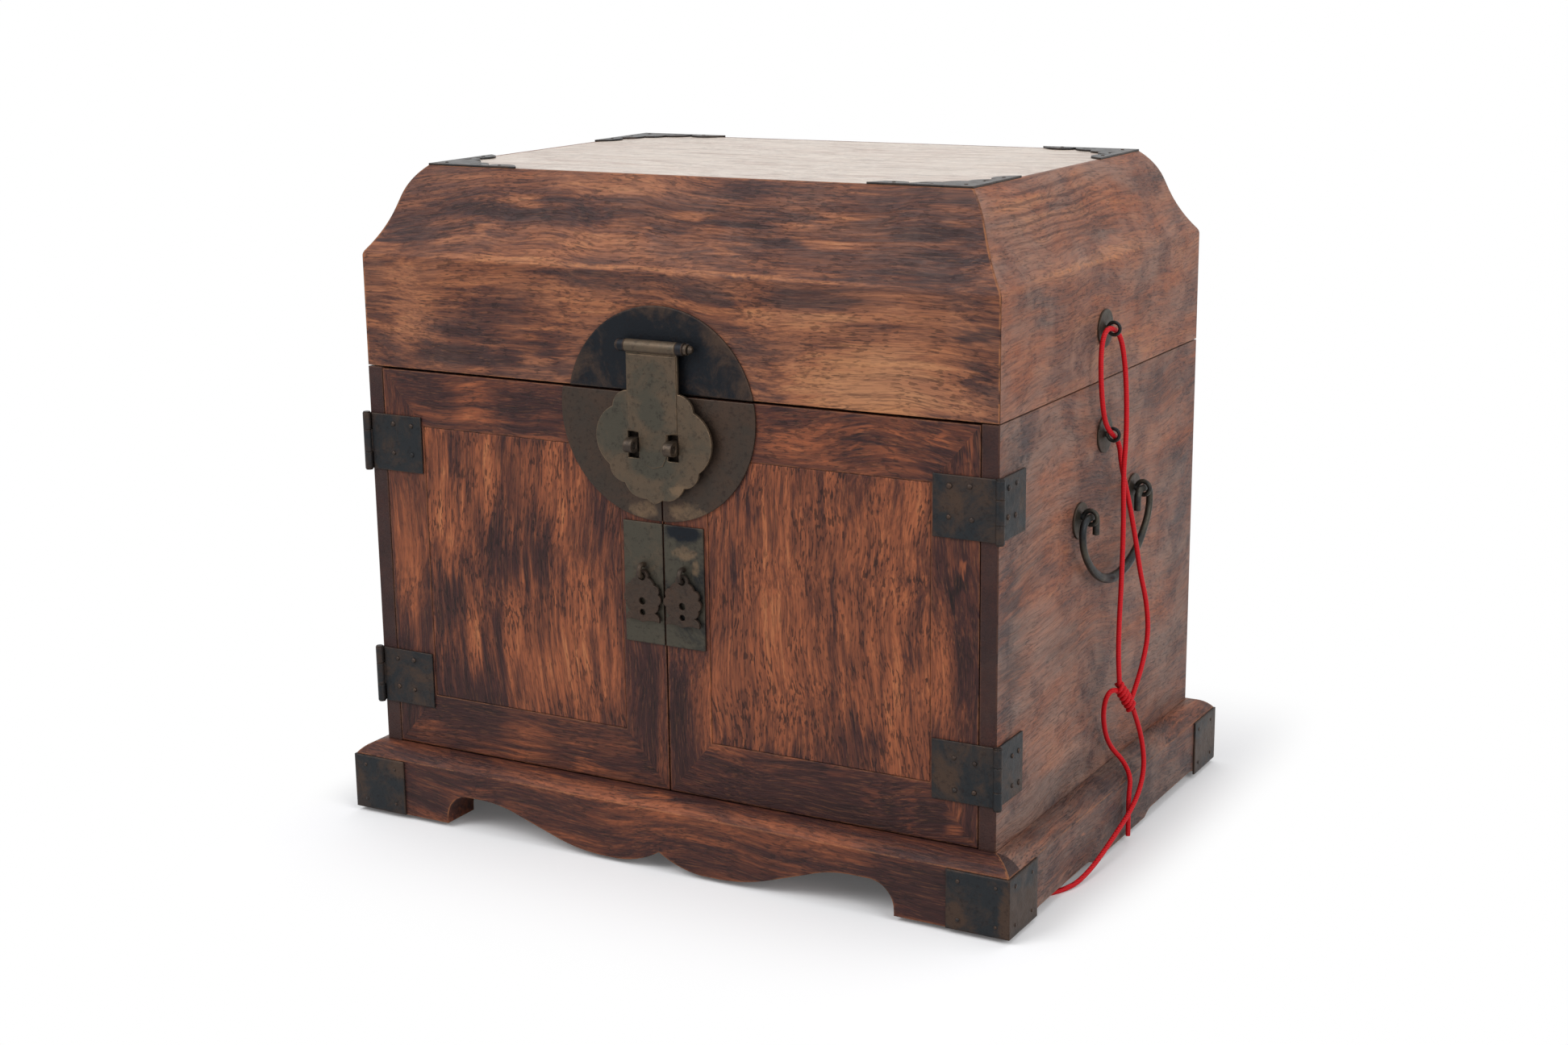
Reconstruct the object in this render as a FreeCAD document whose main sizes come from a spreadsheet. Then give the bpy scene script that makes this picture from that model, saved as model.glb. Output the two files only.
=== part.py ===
"""Seal chest: a case on an apron plinth, two doors over four drawers, a tray
under a lid with sloping sides, brass-type mounts and a red cord.

Millimetres.  +X is to the right, +Y to the back, +Z up.  The origin is on the
floor, under the middle of the chest.
"""
import FreeCAD, Part
import math
import os
import re

os.makedirs("parts", exist_ok=True)
Vector = FreeCAD.Vector
Rotation = FreeCAD.Rotation
doc = FreeCAD.newDocument("seal_chest")

# Sizes
SIZES = {
    # wooden case
    "case_width": "350",
    "case_depth": "253",
    "case_height": "199.5",
    "side_board": "13",
    "back_board": "10",
    "bottom_board": "8",
    "shelf_board": "6",
    "tray_board": "7",
    "tray_depth": "45",
    "tray_front_board": "8",
    "tray_front_gap": "0.6",
    # plinth
    "pad_height": "2.5",
    "pad_radius": "9",
    "pad_inset": "5",
    "plinth_height": "35.5",
    "plinth_overhang": "12",
    "plinth_board": "22",
    "crown_drop": "6",
    "foot_length": "58",
    "foot_corner": "13.3",
    "arch_height": "16.3",
    "arch_run": "24",
    "lobe_place": "30",
    "cusp_height": "7.8",
    "side_foot": "26.5",
    "side_rise": "3",
    "side_rise_run": "12",
    "side_lobe": "35",
    "corner_leaf": "31",
    "corner_leaf_height": "29",
    "sheet_metal": "1",
    # lid
    "seam_gap": "0.7",
    "lid_wall_height": "58",
    "lid_board": "13",
    "slope_height": "42",
    "slope_inset": "25",
    "shoulder_round": "1.6",
    "lid_lip": "2",
    "lid_panel": "8",
    "lid_rebate": "9",
    "lid_ledge": "6",
    "top_mount_leg": "53",
    # doors
    "door_board": "9.5",
    "door_step": "4.5",
    "door_gap": "0.6",
    "door_middle_gap": "1",
    "door_back_gap": "0.5",
    "door_foot_gap": "0.8",
    "stile": "24",
    "rail": "28",
    "arris": "0.5",
    # door hinges
    "hinge_out": "1.5",
    "hinge_front": "1.7",
    "barrel_radius": "2.1",
    "barrel_clearance": "0.35",
    "hinge_pin_radius": "1",
    "pin_clearance": "0.05",
    "pin_cap": "0.6",
    "hinge_tall": "29",
    "knuckle_middle": "11.5",
    "knuckle_gap": "0.2",
    "upper_hinge_drop": "38.5",
    "lower_hinge_rise": "36.3",
    "door_leaf": "32",
    "case_leaf": "27.5",
    # lid hinges
    "lid_hinge_place": "95",
    "lid_hinge_width": "42",
    "lid_hinge_leaf": "28",
    "lid_hinge_back": "2.5",
    # lock plate and hasp
    "lock_radius": "52",
    "lock_drop": "10.1",
    "lock_shift": "4",
    "hasp_centre": "-1.2",
    "hasp_strap": "28.2",
    "hasp_half_width": "32.1",
    "hasp_reach": "52.8",
    "hasp_metal": "1.6",
    "hasp_barrel_rise": "23",
    "hasp_barrel_radius": "3.1",
    "hasp_stand_off": "4",
    "hasp_knuckle": "27.9",
    "hasp_outer_knuckle": "3.9",
    "hasp_pin_radius": "1.1",
    "slot_near": "8",
    "slot_width": "6.1",
    "slot_height": "13",
    "slot_drop": "24.6",
    "staple_width": "4.6",
    "staple_height": "6.8",
    "staple_reach": "7.6",
    "staple_hole": "1.8",
    # pulls
    "pull_plate_width": "22",
    "pull_plate_height": "60.6",
    "pull_plate_gap": "1.4",
    "pull_place": "11.3",
    "pull_ring_drop": "23.7",
    "pull_ring_radius": "3",
    "pull_wire": "1.2",
    "pull_ring_out": "1.6",
    "pendant_metal": "1.6",
    "pendant_hang_hole": "1.9",
    "pendant_hole": "1.85",
    "pendant_foot_hole": "1.6",
    "pendant_half_width": "9.4",
    "pendant_drop": "23",
    # side handles
    "handle_drop": "61.5",
    "handle_front": "-32",
    "handle_back": "38",
    "handle_disc_radius": "9",
    "handle_ring_radius": "3.4",
    "handle_ring_wire": "1.2",
    "handle_shank": "1.4",
    "bail_half_width": "44.5",
    "bail_depth": "37",
    "bail_end_radius": "1.75",
    "bail_middle_radius": "2.6",
    "bail_slack": "3.5",
    "bail_neck": "6",
    "bail_hook": "4",
    "bail_tip": "6",
    # cord eyes
    "cord_disc_radius": "9.2",
    "cord_ring_radius": "3",
    "cord_ring_wire": "0.9",
    "cord_shank": "1.2",
    "upper_eye_rise": "25.5",
    "upper_eye_place": "-5",
    "lower_eye_drop": "26.7",
    "lower_eye_place": "-2.8",
    "shank_clearance": "0.05",
    "cord_width": "2.5",
    # drawers
    "drawer_gap": "0.8",
    "drawer_foot_gap": "0.4",
    "drawer_setback": "21.3",
    "drawer_back_gap": "4.5",
    "drawer_front": "8",
    "drawer_side": "6",
    "drawer_base": "4",
    "knob_reach": "7.5",
    "knob_radius": "5",
    "knob_plate": "9",
}

# Places that follow from the sizes, each from what stands above it.
PLACES = {
    "half_width": "case_width / 2",
    "half_depth": "case_depth / 2",
    "inner_width": "half_width - side_board",
    "plinth_x": "half_width + plinth_overhang",
    "plinth_y": "half_depth + plinth_overhang",
    "plinth_top": "pad_height + plinth_height",
    "seam": "plinth_top + case_height",
    "lid_foot": "seam + seam_gap",
    "shoulder": "seam + lid_wall_height",
    "summit": "shoulder + slope_height",
    "panel_x": "half_width - slope_inset - lid_lip",
    "panel_y": "half_depth - slope_inset - lid_lip",
    "step_y": "half_depth - door_board - door_back_gap",
    "back_y": "half_depth - back_board",
    "floor_top": "plinth_top + bottom_board",
    "tray_top": "seam - tray_depth",
    "tray_under": "tray_top - tray_board",
    "row_height": "(tray_under - floor_top - shelf_board) / 2",
    "shelf_under": "floor_top + row_height",
    "shelf_top": "shelf_under + shelf_board",
    "door_foot": "plinth_top + door_foot_gap",
    "door_head": "seam - door_gap",
    "door_inner": "door_middle_gap / 2",
    "door_outer": "half_width - side_board + door_step - door_gap",
    "face_metal": "half_depth + sheet_metal",
    "hinge_x": "half_width + hinge_out",
    "hinge_y": "half_depth + hinge_front",
    "lid_hinge_y": "half_depth + lid_hinge_back",
    "lock_z": "seam - lock_drop",
    "hasp_axis_y": "face_metal + hasp_stand_off",
    "hasp_axis_z": "seam + hasp_barrel_rise",
    "slot_z": "seam - slot_drop",
    "slot_x": "slot_near + slot_width / 2",
    "pull_top": "lock_z - lock_radius - pull_plate_gap",
    "pull_ring_z": "pull_top - pull_ring_drop",
    "pull_ring_y": "face_metal + pull_ring_out",
    "handle_z": "seam - handle_drop",
    "handle_x": "half_width + sheet_metal + handle_ring_radius + handle_ring_wire",
    "handle_middle": "(handle_front + handle_back) / 2",
    "cord_eye_x": "half_width + sheet_metal + cord_ring_radius + cord_ring_wire",
    "upper_eye_z": "seam + upper_eye_rise",
    "lower_eye_z": "seam - lower_eye_drop",
    "drawer_y": "half_depth - drawer_setback",
}

sheet = doc.addObject("Spreadsheet::Sheet", "Sizes")
for row, (alias, value) in enumerate(SIZES.items(), start=1):
    sheet.set("A%d" % row, alias)
    sheet.set("B%d" % row, value)
    sheet.setAlias("B%d" % row, alias)
doc.recompute()
places = doc.addObject("App::VarSet", "Places")
for name in PLACES:
    places.addProperty("App::PropertyFloat", name, "Places")


def formula(text):
    """Write the sheet's name, or the places' name, in front of each plain name."""
    def full(found):
        word = found.group()
        if word in SIZES:
            return "Sizes." + word
        if word in PLACES:
            return "Places." + word
        return word
    return re.sub(r"[a-z_]+", full, str(text))


for name, text in PLACES.items():
    places.setExpression(name, formula(text))
doc.recompute()


def mm(name):
    """The number behind a size or a place."""
    if name in SIZES:
        return float(sheet.get(name))
    return getattr(places, name)


def bind(obj, prop, text):
    obj.setExpression(prop, formula(text))


def put(obj, x="0", y="0", z="0"):
    """Bind where an object stands."""
    for letter, text in zip("xyz", (x, y, z)):
        bind(obj, "Placement.Base." + letter, text)
    return obj


WIRE_SIDES = 8
BAIL_SIDES = 12
TURN = {"x": Rotation(Vector(0, 1, 0), 90), "y": Rotation(Vector(1, 0, 0), -90), "z": Rotation()}
NODES = []


def node(label, obj):
    """Name an object as one of the chest's sub-parts."""
    obj.Label = label
    NODES.append(obj)
    return obj


# Solids
def block(name, x, y, z):
    """A board between two corners, each given as (low, high)."""
    box = doc.addObject("Part::Box", name)
    for prop, (low, high) in zip(("Length", "Width", "Height"), (x, y, z)):
        bind(box, prop, "(%s) - (%s)" % (high, low))
    return put(box, x[0], y[0], z[0])


def rod(name, axis, at, length, radius):
    """A round bar that starts at a place and runs along an axis."""
    bar = doc.addObject("Part::Cylinder", name)
    bind(bar, "Radius", radius)
    bind(bar, "Height", length)
    bar.Placement = FreeCAD.Placement(Vector(), TURN[axis])
    return put(bar, *at)


def ring(name, axis, at, radius, wire):
    """A ring of eight-sided wire whose hole looks along an axis."""
    section = doc.addObject("Part::RegularPolygon", name + "_section")
    section.Polygon = WIRE_SIDES
    bind(section, "Circumradius", wire)
    section.Placement = FreeCAD.Placement(Vector(), Rotation(Vector(1, 0, 0), 90))
    bind(section, "Placement.Base.x", radius)
    turned = doc.addObject("Part::Revolution", name)
    turned.Source = section
    turned.Axis = Vector(0, 0, 1)
    turned.Angle = 360
    turned.Solid = True
    turned.Placement = FreeCAD.Placement(Vector(), TURN[axis])
    return put(turned, *at)


def joined(name, *pieces):
    union = doc.addObject("Part::MultiFuse", name)
    union.Shapes = list(pieces)
    return union


def less(name, base, *tools):
    """A piece with others cut out of it."""
    cut = doc.addObject("Part::Cut", name)
    cut.Base = base
    cut.Tool = tools[0] if len(tools) == 1 else joined(name + "_tools", *tools)
    return cut


def shared(name, one, other):
    common = doc.addObject("Part::MultiCommon", name)
    common.Shapes = [one, other]
    return common


def group(name, *pieces):
    together = doc.addObject("Part::Compound", name)
    together.Links = list(pieces)
    return together


def mirrored(name, source, axis="x"):
    """The same piece on the other side of the chest."""
    twin = doc.addObject("Part::Mirroring", name)
    twin.Source = source
    twin.Normal = Vector(1, 0, 0) if axis == "x" else Vector(0, 1, 0)
    return twin


# Sketches
def draw(sketch, outline):
    """Draw a closed outline: a point is a line's end, a pair of points is an arc
    through the first to the second, and a circle is its centre and radius."""
    if outline[0] == "circle":
        _, (a, b), radius = outline
        sketch.addGeometry(Part.Circle(Vector(a, b, 0), Vector(0, 0, 1), radius), False)
        return
    start = here = outline[0]
    steps = list(outline[1:])
    last = steps[-1][1] if isinstance(steps[-1][0], tuple) else steps[-1]
    if math.dist(last, start) > 1e-6:
        steps.append(start)
    for step in steps:
        if isinstance(step[0], tuple):
            middle, end = step
            edge = Part.Arc(Vector(*here, 0), Vector(*middle, 0), Vector(*end, 0))
        else:
            end = step
            edge = Part.LineSegment(Vector(*here, 0), Vector(*end, 0))
        sketch.addGeometry(edge, False)
        here = end


PLANES = {"side": "YZ_Plane", "front": "XZ_Plane", "plan": "XY_Plane"}


def sketch_on(body, name, plane, at, outlines):
    """A sketch on a plane of the body: side is (y, z), front (x, z), plan (x, y)."""
    sketch = body.newObject("Sketcher::SketchObject", name)
    origin = [f for f in body.Origin.OriginFeatures if f.Role == PLANES[plane]][0]
    sketch.AttachmentSupport = [(origin, "")]
    sketch.MapMode = "FlatFace"
    bind(sketch, "AttachmentOffset.Base.z", "-(%s)" % at if plane == "front" else at)
    for outline in outlines:
        draw(sketch, outline)
    return sketch


def slab(name, plane, at, thick, *outlines):
    """A piece as thick as given, padded from its outline and holes towards
    +X from a side plane, +Y from a front plane and +Z from a plan."""
    body = doc.addObject("PartDesign::Body", name)
    pad = body.newObject("PartDesign::Pad", name + "_pad")
    pad.Profile = sketch_on(body, name + "_outline", plane, at, outlines)
    pad.Reversed = plane == "front"
    bind(pad, "Length", thick)
    body.Tip = pad
    doc.recompute()
    return body


def pocket(body, name, plane, *outlines):
    """Cut outlines right through a body, and make sure that they took something."""
    before = body.Shape.Volume
    cut = body.newObject("PartDesign::Pocket", name)
    cut.Profile = sketch_on(body, name + "_outline", plane, "0", outlines)
    cut.Type = "ThroughAll"
    cut.SideType = "Symmetric"
    body.Tip = cut
    doc.recompute()
    if not body.Shape.Volume < before:
        raise ValueError(name + " cuts nothing")
    return body


def rectangle(a_low, a_high, b_low, b_high):
    return [(a_low, b_low), (a_high, b_low), (a_high, b_high), (a_low, b_high)]


def flipped(steps):
    """An outline's steps mirrored about the first axis and run backwards."""
    points = [step if not isinstance(step[0], tuple) else step for step in steps]
    result = []
    ends = [step[1] if isinstance(step[0], tuple) else step for step in points]
    for index in range(len(points) - 1, -1, -1):
        if index == len(points) - 1:
            result.append((-ends[index][0], ends[index][1]))
            continue
        after = points[index + 1]
        end = (-ends[index][0], ends[index][1])
        if isinstance(after[0], tuple):
            result.append(((-after[0][0], after[0][1]), end))
        else:
            result.append(end)
    return result


def symmetric(steps):
    """A closed outline from its right half, run from the bottom to the top."""
    left = flipped(steps)
    if math.dist(left[0], steps[-1][1] if isinstance(steps[-1][0], tuple) else steps[-1]) < 1e-6:
        left = left[1:]
    last = left[-1][1] if isinstance(left[-1][0], tuple) else left[-1]
    start = steps[0]
    if math.dist(last, start) < 1e-6 and not isinstance(left[-1][0], tuple):
        left = left[:-1]
    return list(steps) + left


def moved(outline, a, b):
    """The same outline, shifted on its plane."""
    result = []
    for step in outline:
        if isinstance(step[0], tuple):
            result.append(tuple((p + a, q + b) for p, q in step))
        else:
            result.append((step[0] + a, step[1] + b))
    return result


def scaled(steps, width, height, up):
    """An outline written in shares, in millimetres."""
    result = []
    for step in steps:
        if isinstance(step[0], tuple):
            result.append(tuple((a * width, up + b * height) for a, b in step))
        else:
            result.append((step[0] * width, up + step[1] * height))
    return result


def mitre(body, name, x, y, thick, ends):
    """Cut a board's ends at 45 degrees in plan.  ends is "x" for a board that
    runs along X at the front, and "y" for one along Y on the right."""
    thick += 1
    if ends == "x":
        cuts = [[(side * (x + 1), -y - 1), (side * (x + 1), -y + thick),
                 (side * (x - thick), -y + thick)] for side in (-1, 1)]
    else:
        cuts = [[(x + 1, side * (y + 1)), (x - thick, side * (y + 1)),
                 (x - thick, side * (y - thick))] for side in (-1, 1)]
    return pocket(body, name, "plan", *cuts)


# Plinth
def apron_under(foot, height):
    """The open space under a front apron, right half, from the foot to the cusp."""
    inner = mm("plinth_x") - mm("foot_length")
    round_off = mm("foot_corner")
    arch = height + mm("arch_height")
    peak = inner - mm("arch_run")
    lobe = mm("lobe_place")
    sway = peak - lobe
    diagonal = round_off * math.sqrt(0.5)
    return inner, [
        (inner, height - 1),
        (inner, arch - round_off),
        ((inner - round_off + diagonal, arch - round_off + diagonal), (inner - round_off, arch)),
        (peak, arch),
        ((peak - 0.15 * sway, arch - 1.3), (peak - 0.29 * sway, arch - 4.4)),
        (peak - 0.55 * sway, height + 5.4),
        ((peak - 0.76 * sway, height + 1.3), (lobe, height)),
        ((lobe * 0.46, height + 1.7), (0, height + mm("cusp_height"))),
    ]


def plinth():
    under, top = mm("pad_height"), mm("plinth_top")
    out, drop = mm("plinth_overhang"), mm("crown_drop")
    crown = (out * out + drop * drop) / (2 * drop)
    half_turn = math.asin(out / crown) / 2
    middle = (out - crown * math.sin(half_turn), top - crown + crown * math.cos(half_turn))
    board = mm("plinth_board")
    x, y = mm("plinth_x"), mm("plinth_y")

    def section(edge):
        """A board's section, inwards from its outer face."""
        return [(edge, under), (edge, top - drop), ((edge + middle[0], middle[1]), (edge + out, top)),
                (edge + board, top), (edge + board, under)]

    front = slab("plinth_front", "side", "-plinth_x", "2 * plinth_x", section(-y))
    inner, edge = apron_under(x, under)
    left = flipped(edge)[1:]
    arches = list(edge) + left
    # one closed outline below the wavy edge, feet left standing
    pocket(front, "apron", "front", arches)
    mitre(front, "front_mitre", x, y, board, "x")
    node("plinth_front", front)
    node("plinth_back", mirrored("plinth_back_twin", front, "y"))

    flank = [tuple_flip(step, x, y) for step in section(-y)]
    right = slab("plinth_right", "front", "-plinth_y", "2 * plinth_y", flank)
    foot, rise = y - mm("side_foot"), under + mm("side_rise")
    run, lobe = mm("side_rise_run"), mm("side_lobe")
    for side, name in ((1, "side_apron_back"), (-1, "side_apron_front")):
        hollow = [(foot, under - 1), (foot, under), ((foot - run * 0.4, rise - 0.8), (foot - run, rise)),
                  (lobe + run, rise), ((lobe + run * 0.4, rise - 0.8), (lobe, under)), (lobe, under - 1)]
        hollow = [tuple((side * p, q) for p, q in step) if isinstance(step[0], tuple)
                  else (side * step[0], step[1]) for step in hollow]
        pocket(right, name, "side", hollow)
    mitre(right, "side_mitre", x, y, board, "y")
    node("plinth_right", right)
    node("plinth_left", mirrored("plinth_left_twin", right))

    leaf, sheet_thick = mm("corner_leaf"), mm("sheet_metal")
    ell = [(x - leaf, -y - sheet_thick), (x + sheet_thick, -y - sheet_thick),
           (x + sheet_thick, -y + leaf), (x, -y + leaf), (x, -y), (x - leaf, -y)]
    corner = slab("plinth_mount", "plan", "pad_height", "corner_leaf_height", ell)
    near = group("plinth_mounts_front", corner, mirrored("plinth_mount_left", corner))
    node("plinth_mounts", group("plinth_mounts_all", near, mirrored("plinth_mounts_back", near, "y")))

    inset = "pad_inset + pad_radius"
    pad = rod("foot_pad", "z", ("plinth_x - (%s)" % inset, "-plinth_y + (%s)" % inset, "0"),
              "pad_height", "pad_radius")
    near = group("foot_pads_front", pad, mirrored("foot_pad_left", pad))
    node("foot_pads", group("foot_pads_all", near, mirrored("foot_pads_back", near, "y")))


def tuple_flip(step, x, y):
    """Turn a front board's section (y, z) into the right board's (x, z)."""
    if isinstance(step[0], tuple):
        return tuple((x - (a + y), b) for a, b in step)
    return (x - (step[0] + y), step[1])


# Case
def case():
    depth, wide = mm("half_depth"), mm("half_width")
    side = slab("case_side_right", "side", "inner_width", "side_board",
                rectangle(-depth, depth, mm("plinth_top"), mm("seam")))
    rebate = rectangle(mm("inner_width") - 1, wide - mm("side_board") + mm("door_step"),
                       -depth - 1, -mm("step_y"))
    pocket(side, "door_rebate", "plan", rebate)
    slack = mm("shank_clearance")
    holes = [("circle", (mm(place), mm("handle_z")), mm("handle_shank") + slack)
             for place in ("handle_front", "handle_back")]
    holes.append(("circle", (mm("lower_eye_place"), mm("lower_eye_z")), mm("cord_shank") + slack))
    pocket(side, "shank_holes", "side", *holes)
    node("case_side_right", side)
    node("case_side_left", mirrored("case_side_left_twin", side))

    across = ("-inner_width", "inner_width")
    node("case_back", block("case_back", across, ("back_y", "half_depth"), ("plinth_top", "seam")))
    node("case_bottom", block("case_bottom", across, ("-step_y", "back_y"), ("plinth_top", "floor_top")))
    node("tray_floor", block("tray_floor", across, ("-step_y", "back_y"), ("tray_under", "tray_top")))
    node("tray_front", block("tray_front", across, ("-step_y", "-step_y + tray_front_board"),
                             ("tray_top", "seam - tray_front_gap")))
    node("drawer_shelf", block("drawer_shelf", across, ("-step_y", "back_y"), ("shelf_under", "shelf_top")))
    middle = ("-shelf_board / 2", "shelf_board / 2")
    lower = block("divider_lower", middle, ("-step_y", "back_y"), ("floor_top", "shelf_under"))
    upper = block("divider_upper", middle, ("-step_y", "back_y"), ("shelf_top", "tray_under"))
    node("drawer_divider", group("drawer_divider_both", lower, upper))


# Lid
def lid_section():
    """The sloping lid board, from its outer face inwards: (inwards, up)."""
    foot, shoulder, summit = mm("lid_foot"), mm("shoulder"), mm("summit")
    inset, rise = mm("slope_inset"), mm("slope_height")
    edge, board = mm("shoulder_round"), mm("lid_board")
    low = (0.504 * inset, shoulder + 0.51 * rise)
    high = (0.596 * inset, shoulder + 0.662 * rise)
    ledge = inset + mm("lid_lip") + mm("lid_rebate")
    step = summit - mm("lid_panel")
    return [
        (0, foot), (0, shoulder - edge),
        ((edge * 0.15, shoulder - 0.3 * edge), (edge * 0.55, shoulder + 0.5 * edge)),
        ((0.31 * inset, shoulder + 0.26 * rise), low),
        high,
        ((0.768 * inset, shoulder + 0.853 * rise), (inset, summit)),
        (inset + mm("lid_lip"), summit), (inset + mm("lid_lip"), step), (ledge, step),
        (ledge, step - mm("lid_ledge")), (board, shoulder - 2), (board, foot),
    ]


# The edge of one leg of the lid's corner mounts and the slot in it, in shares of the leg's length.
MOUNT_EDGE = [
    (1, 0.011),
    (0.934, 0.094),
    ((0.783, 0.17), (0.655, 0.125)),
    (0.634, 0.068),
    (0.604, 0.125),
    ((0.519, 0.219), (0.392, 0.232)),
]
MOUNT_MIDDLE = 0.351
MOUNT_SLOT = [
    (0.547, 0.102),
    ((0.481, 0.125), (0.415, 0.102)),
    (0.415, 0.079),
    ((0.481, 0.098), (0.547, 0.079)),
]


def lid():
    wide, deep = mm("half_width"), mm("half_depth")
    reach = mm("slope_inset") + mm("lid_lip") + mm("lid_rebate")

    def across(step):
        if isinstance(step[0], tuple):
            return tuple((-deep + s, z) for s, z in step)
        return (-deep + step[0], step[1])

    section = [across(step) for step in lid_section()]
    front = slab("lid_front", "side", "-half_width", "case_width", section)
    mitre(front, "lid_front_mitre", wide, deep, reach, "x")
    node("lid_front", front)
    node("lid_back", mirrored("lid_back_twin", front, "y"))
    right = slab("lid_right", "front", "-half_depth", "case_depth",
                 [tuple_flip(step, wide, deep) for step in section])
    mitre(right, "lid_right_mitre", wide, deep, reach, "y")
    pocket(right, "lid_shank_hole", "side",
           ("circle", (mm("upper_eye_place"), mm("upper_eye_z")), mm("cord_shank") + mm("shank_clearance")))
    node("lid_right", right)
    node("lid_left", mirrored("lid_left_twin", right))
    node("lid_panel", block("lid_panel", ("-panel_x", "panel_x"), ("-panel_y", "panel_y"),
                            ("summit - lid_panel", "summit")))

    # cloud-edged corner mounts: one leg's outline, then the same across the diagonal
    leg = mm("top_mount_leg")
    edge = scaled(MOUNT_EDGE, leg, leg, 0)
    point_x, point_y = wide - mm("slope_inset"), -deep + mm("slope_inset")
    ends = [step[1] if isinstance(step[0], tuple) else step for step in edge]
    corner_middle = (MOUNT_MIDDLE * leg, MOUNT_MIDDLE * leg)
    across_diagonal = [(corner_middle, (ends[-1][1], ends[-1][0]))]
    for index in range(len(edge) - 1, 0, -1):
        end = (ends[index - 1][1], ends[index - 1][0])
        if isinstance(edge[index][0], tuple):
            across_diagonal.append(((edge[index][0][1], edge[index][0][0]), end))
        else:
            across_diagonal.append(end)
    outline = [(0, 0), (leg, 0)] + edge + across_diagonal + [(0, leg)]

    def corner(step):
        if isinstance(step[0], tuple):
            return tuple((point_x - a, point_y + b) for a, b in step)
        return (point_x - step[0], point_y + step[1])

    slot = scaled(MOUNT_SLOT, leg, leg, 0)
    twin = [tuple((b, a) for a, b in step) if isinstance(step[0], tuple) else (step[1], step[0])
            for step in slot]
    mount = slab("lid_mount", "plan", "summit", "sheet_metal", [corner(step) for step in outline],
                 [corner(step) for step in slot], [corner(step) for step in twin])
    near = group("lid_mounts_front", mount, mirrored("lid_mount_left", mount))
    node("lid_mounts", group("lid_mounts_all", near, mirrored("lid_mounts_back", near, "y")))


# Eyes and handles
def eye(name, y, z, disc_y, disc_z, disc_radius, ring_radius, wire, shank, ring_x):
    """A disc on the right side, and a ring on a shank through the disc and board."""
    loose = "%s + shank_clearance" % shank
    bore = rod(name + "_bore", "x", ("half_width - 1", y, z), "sheet_metal + 2", loose)
    blank = rod(name + "_disc_blank", "x", ("half_width", disc_y, disc_z), "sheet_metal", disc_radius)
    disc = less(name + "_disc", blank, bore)
    length = "%s - %s - inner_width" % (ring_x, ring_radius)
    bar = rod(name + "_bar", "x", ("inner_width", y, z), length, shank)
    loop = joined(name + "_eye", ring(name + "_loop", "y", (ring_x, y, z), ring_radius, wire), bar)
    return disc, loop


def side_metal():
    handle = ("handle_disc_radius", "handle_ring_radius", "handle_ring_wire", "handle_shank", "handle_x")
    cord = ("cord_disc_radius", "cord_ring_radius", "cord_ring_wire", "cord_shank", "cord_eye_x")
    pieces = [
        eye("handle_front", "handle_front", "handle_z", "handle_front", "handle_z - 2", *handle),
        eye("handle_back", "handle_back", "handle_z", "handle_back", "handle_z - 2", *handle),
        eye("lower_cord", "lower_eye_place", "lower_eye_z", "lower_eye_place", "lower_eye_z", *cord),
    ]
    discs = group("case_discs_right", *[disc for disc, _ in pieces])
    eyes = group("case_eyes_right", *[loop for _, loop in pieces])
    node("case_discs", group("case_discs_all", discs, mirrored("case_discs_left", discs)))
    node("case_eyes", group("case_eyes_all", eyes, mirrored("case_eyes_left", eyes)))
    disc, loop = eye("upper_cord", "upper_eye_place", "upper_eye_z", "upper_eye_place", "upper_eye_z", *cord)
    node("lid_discs", group("lid_discs_all", disc, mirrored("lid_disc_left", disc)))
    node("lid_eyes", group("lid_eyes_all", loop, mirrored("lid_eye_left", loop)))


def many_sided(centre, heading, radius, sides):
    """A closed outline of equal sides, square to a heading."""
    turn = Rotation(Vector(0, 0, 1), heading)
    angles = [2 * math.pi * side / sides for side in range(sides)]
    corners = [centre + turn.multVec(Vector(radius * math.cos(a), radius * math.sin(a), 0)) for a in angles]
    return Part.makePolygon(corners + corners[:1])


def arc_about(centre, radius, start, end, across, middle_y):
    """An arc in the bail's plane, given in degrees from the +Y direction."""
    points = []
    for angle in (start, (start + end) / 2, end):
        turn = math.radians(angle)
        points.append(Vector(across, middle_y + centre[0] + radius * math.cos(turn),
                             mm("handle_z") + centre[1] + radius * math.sin(turn)))
    return Part.Arc(*points).toShape()


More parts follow.
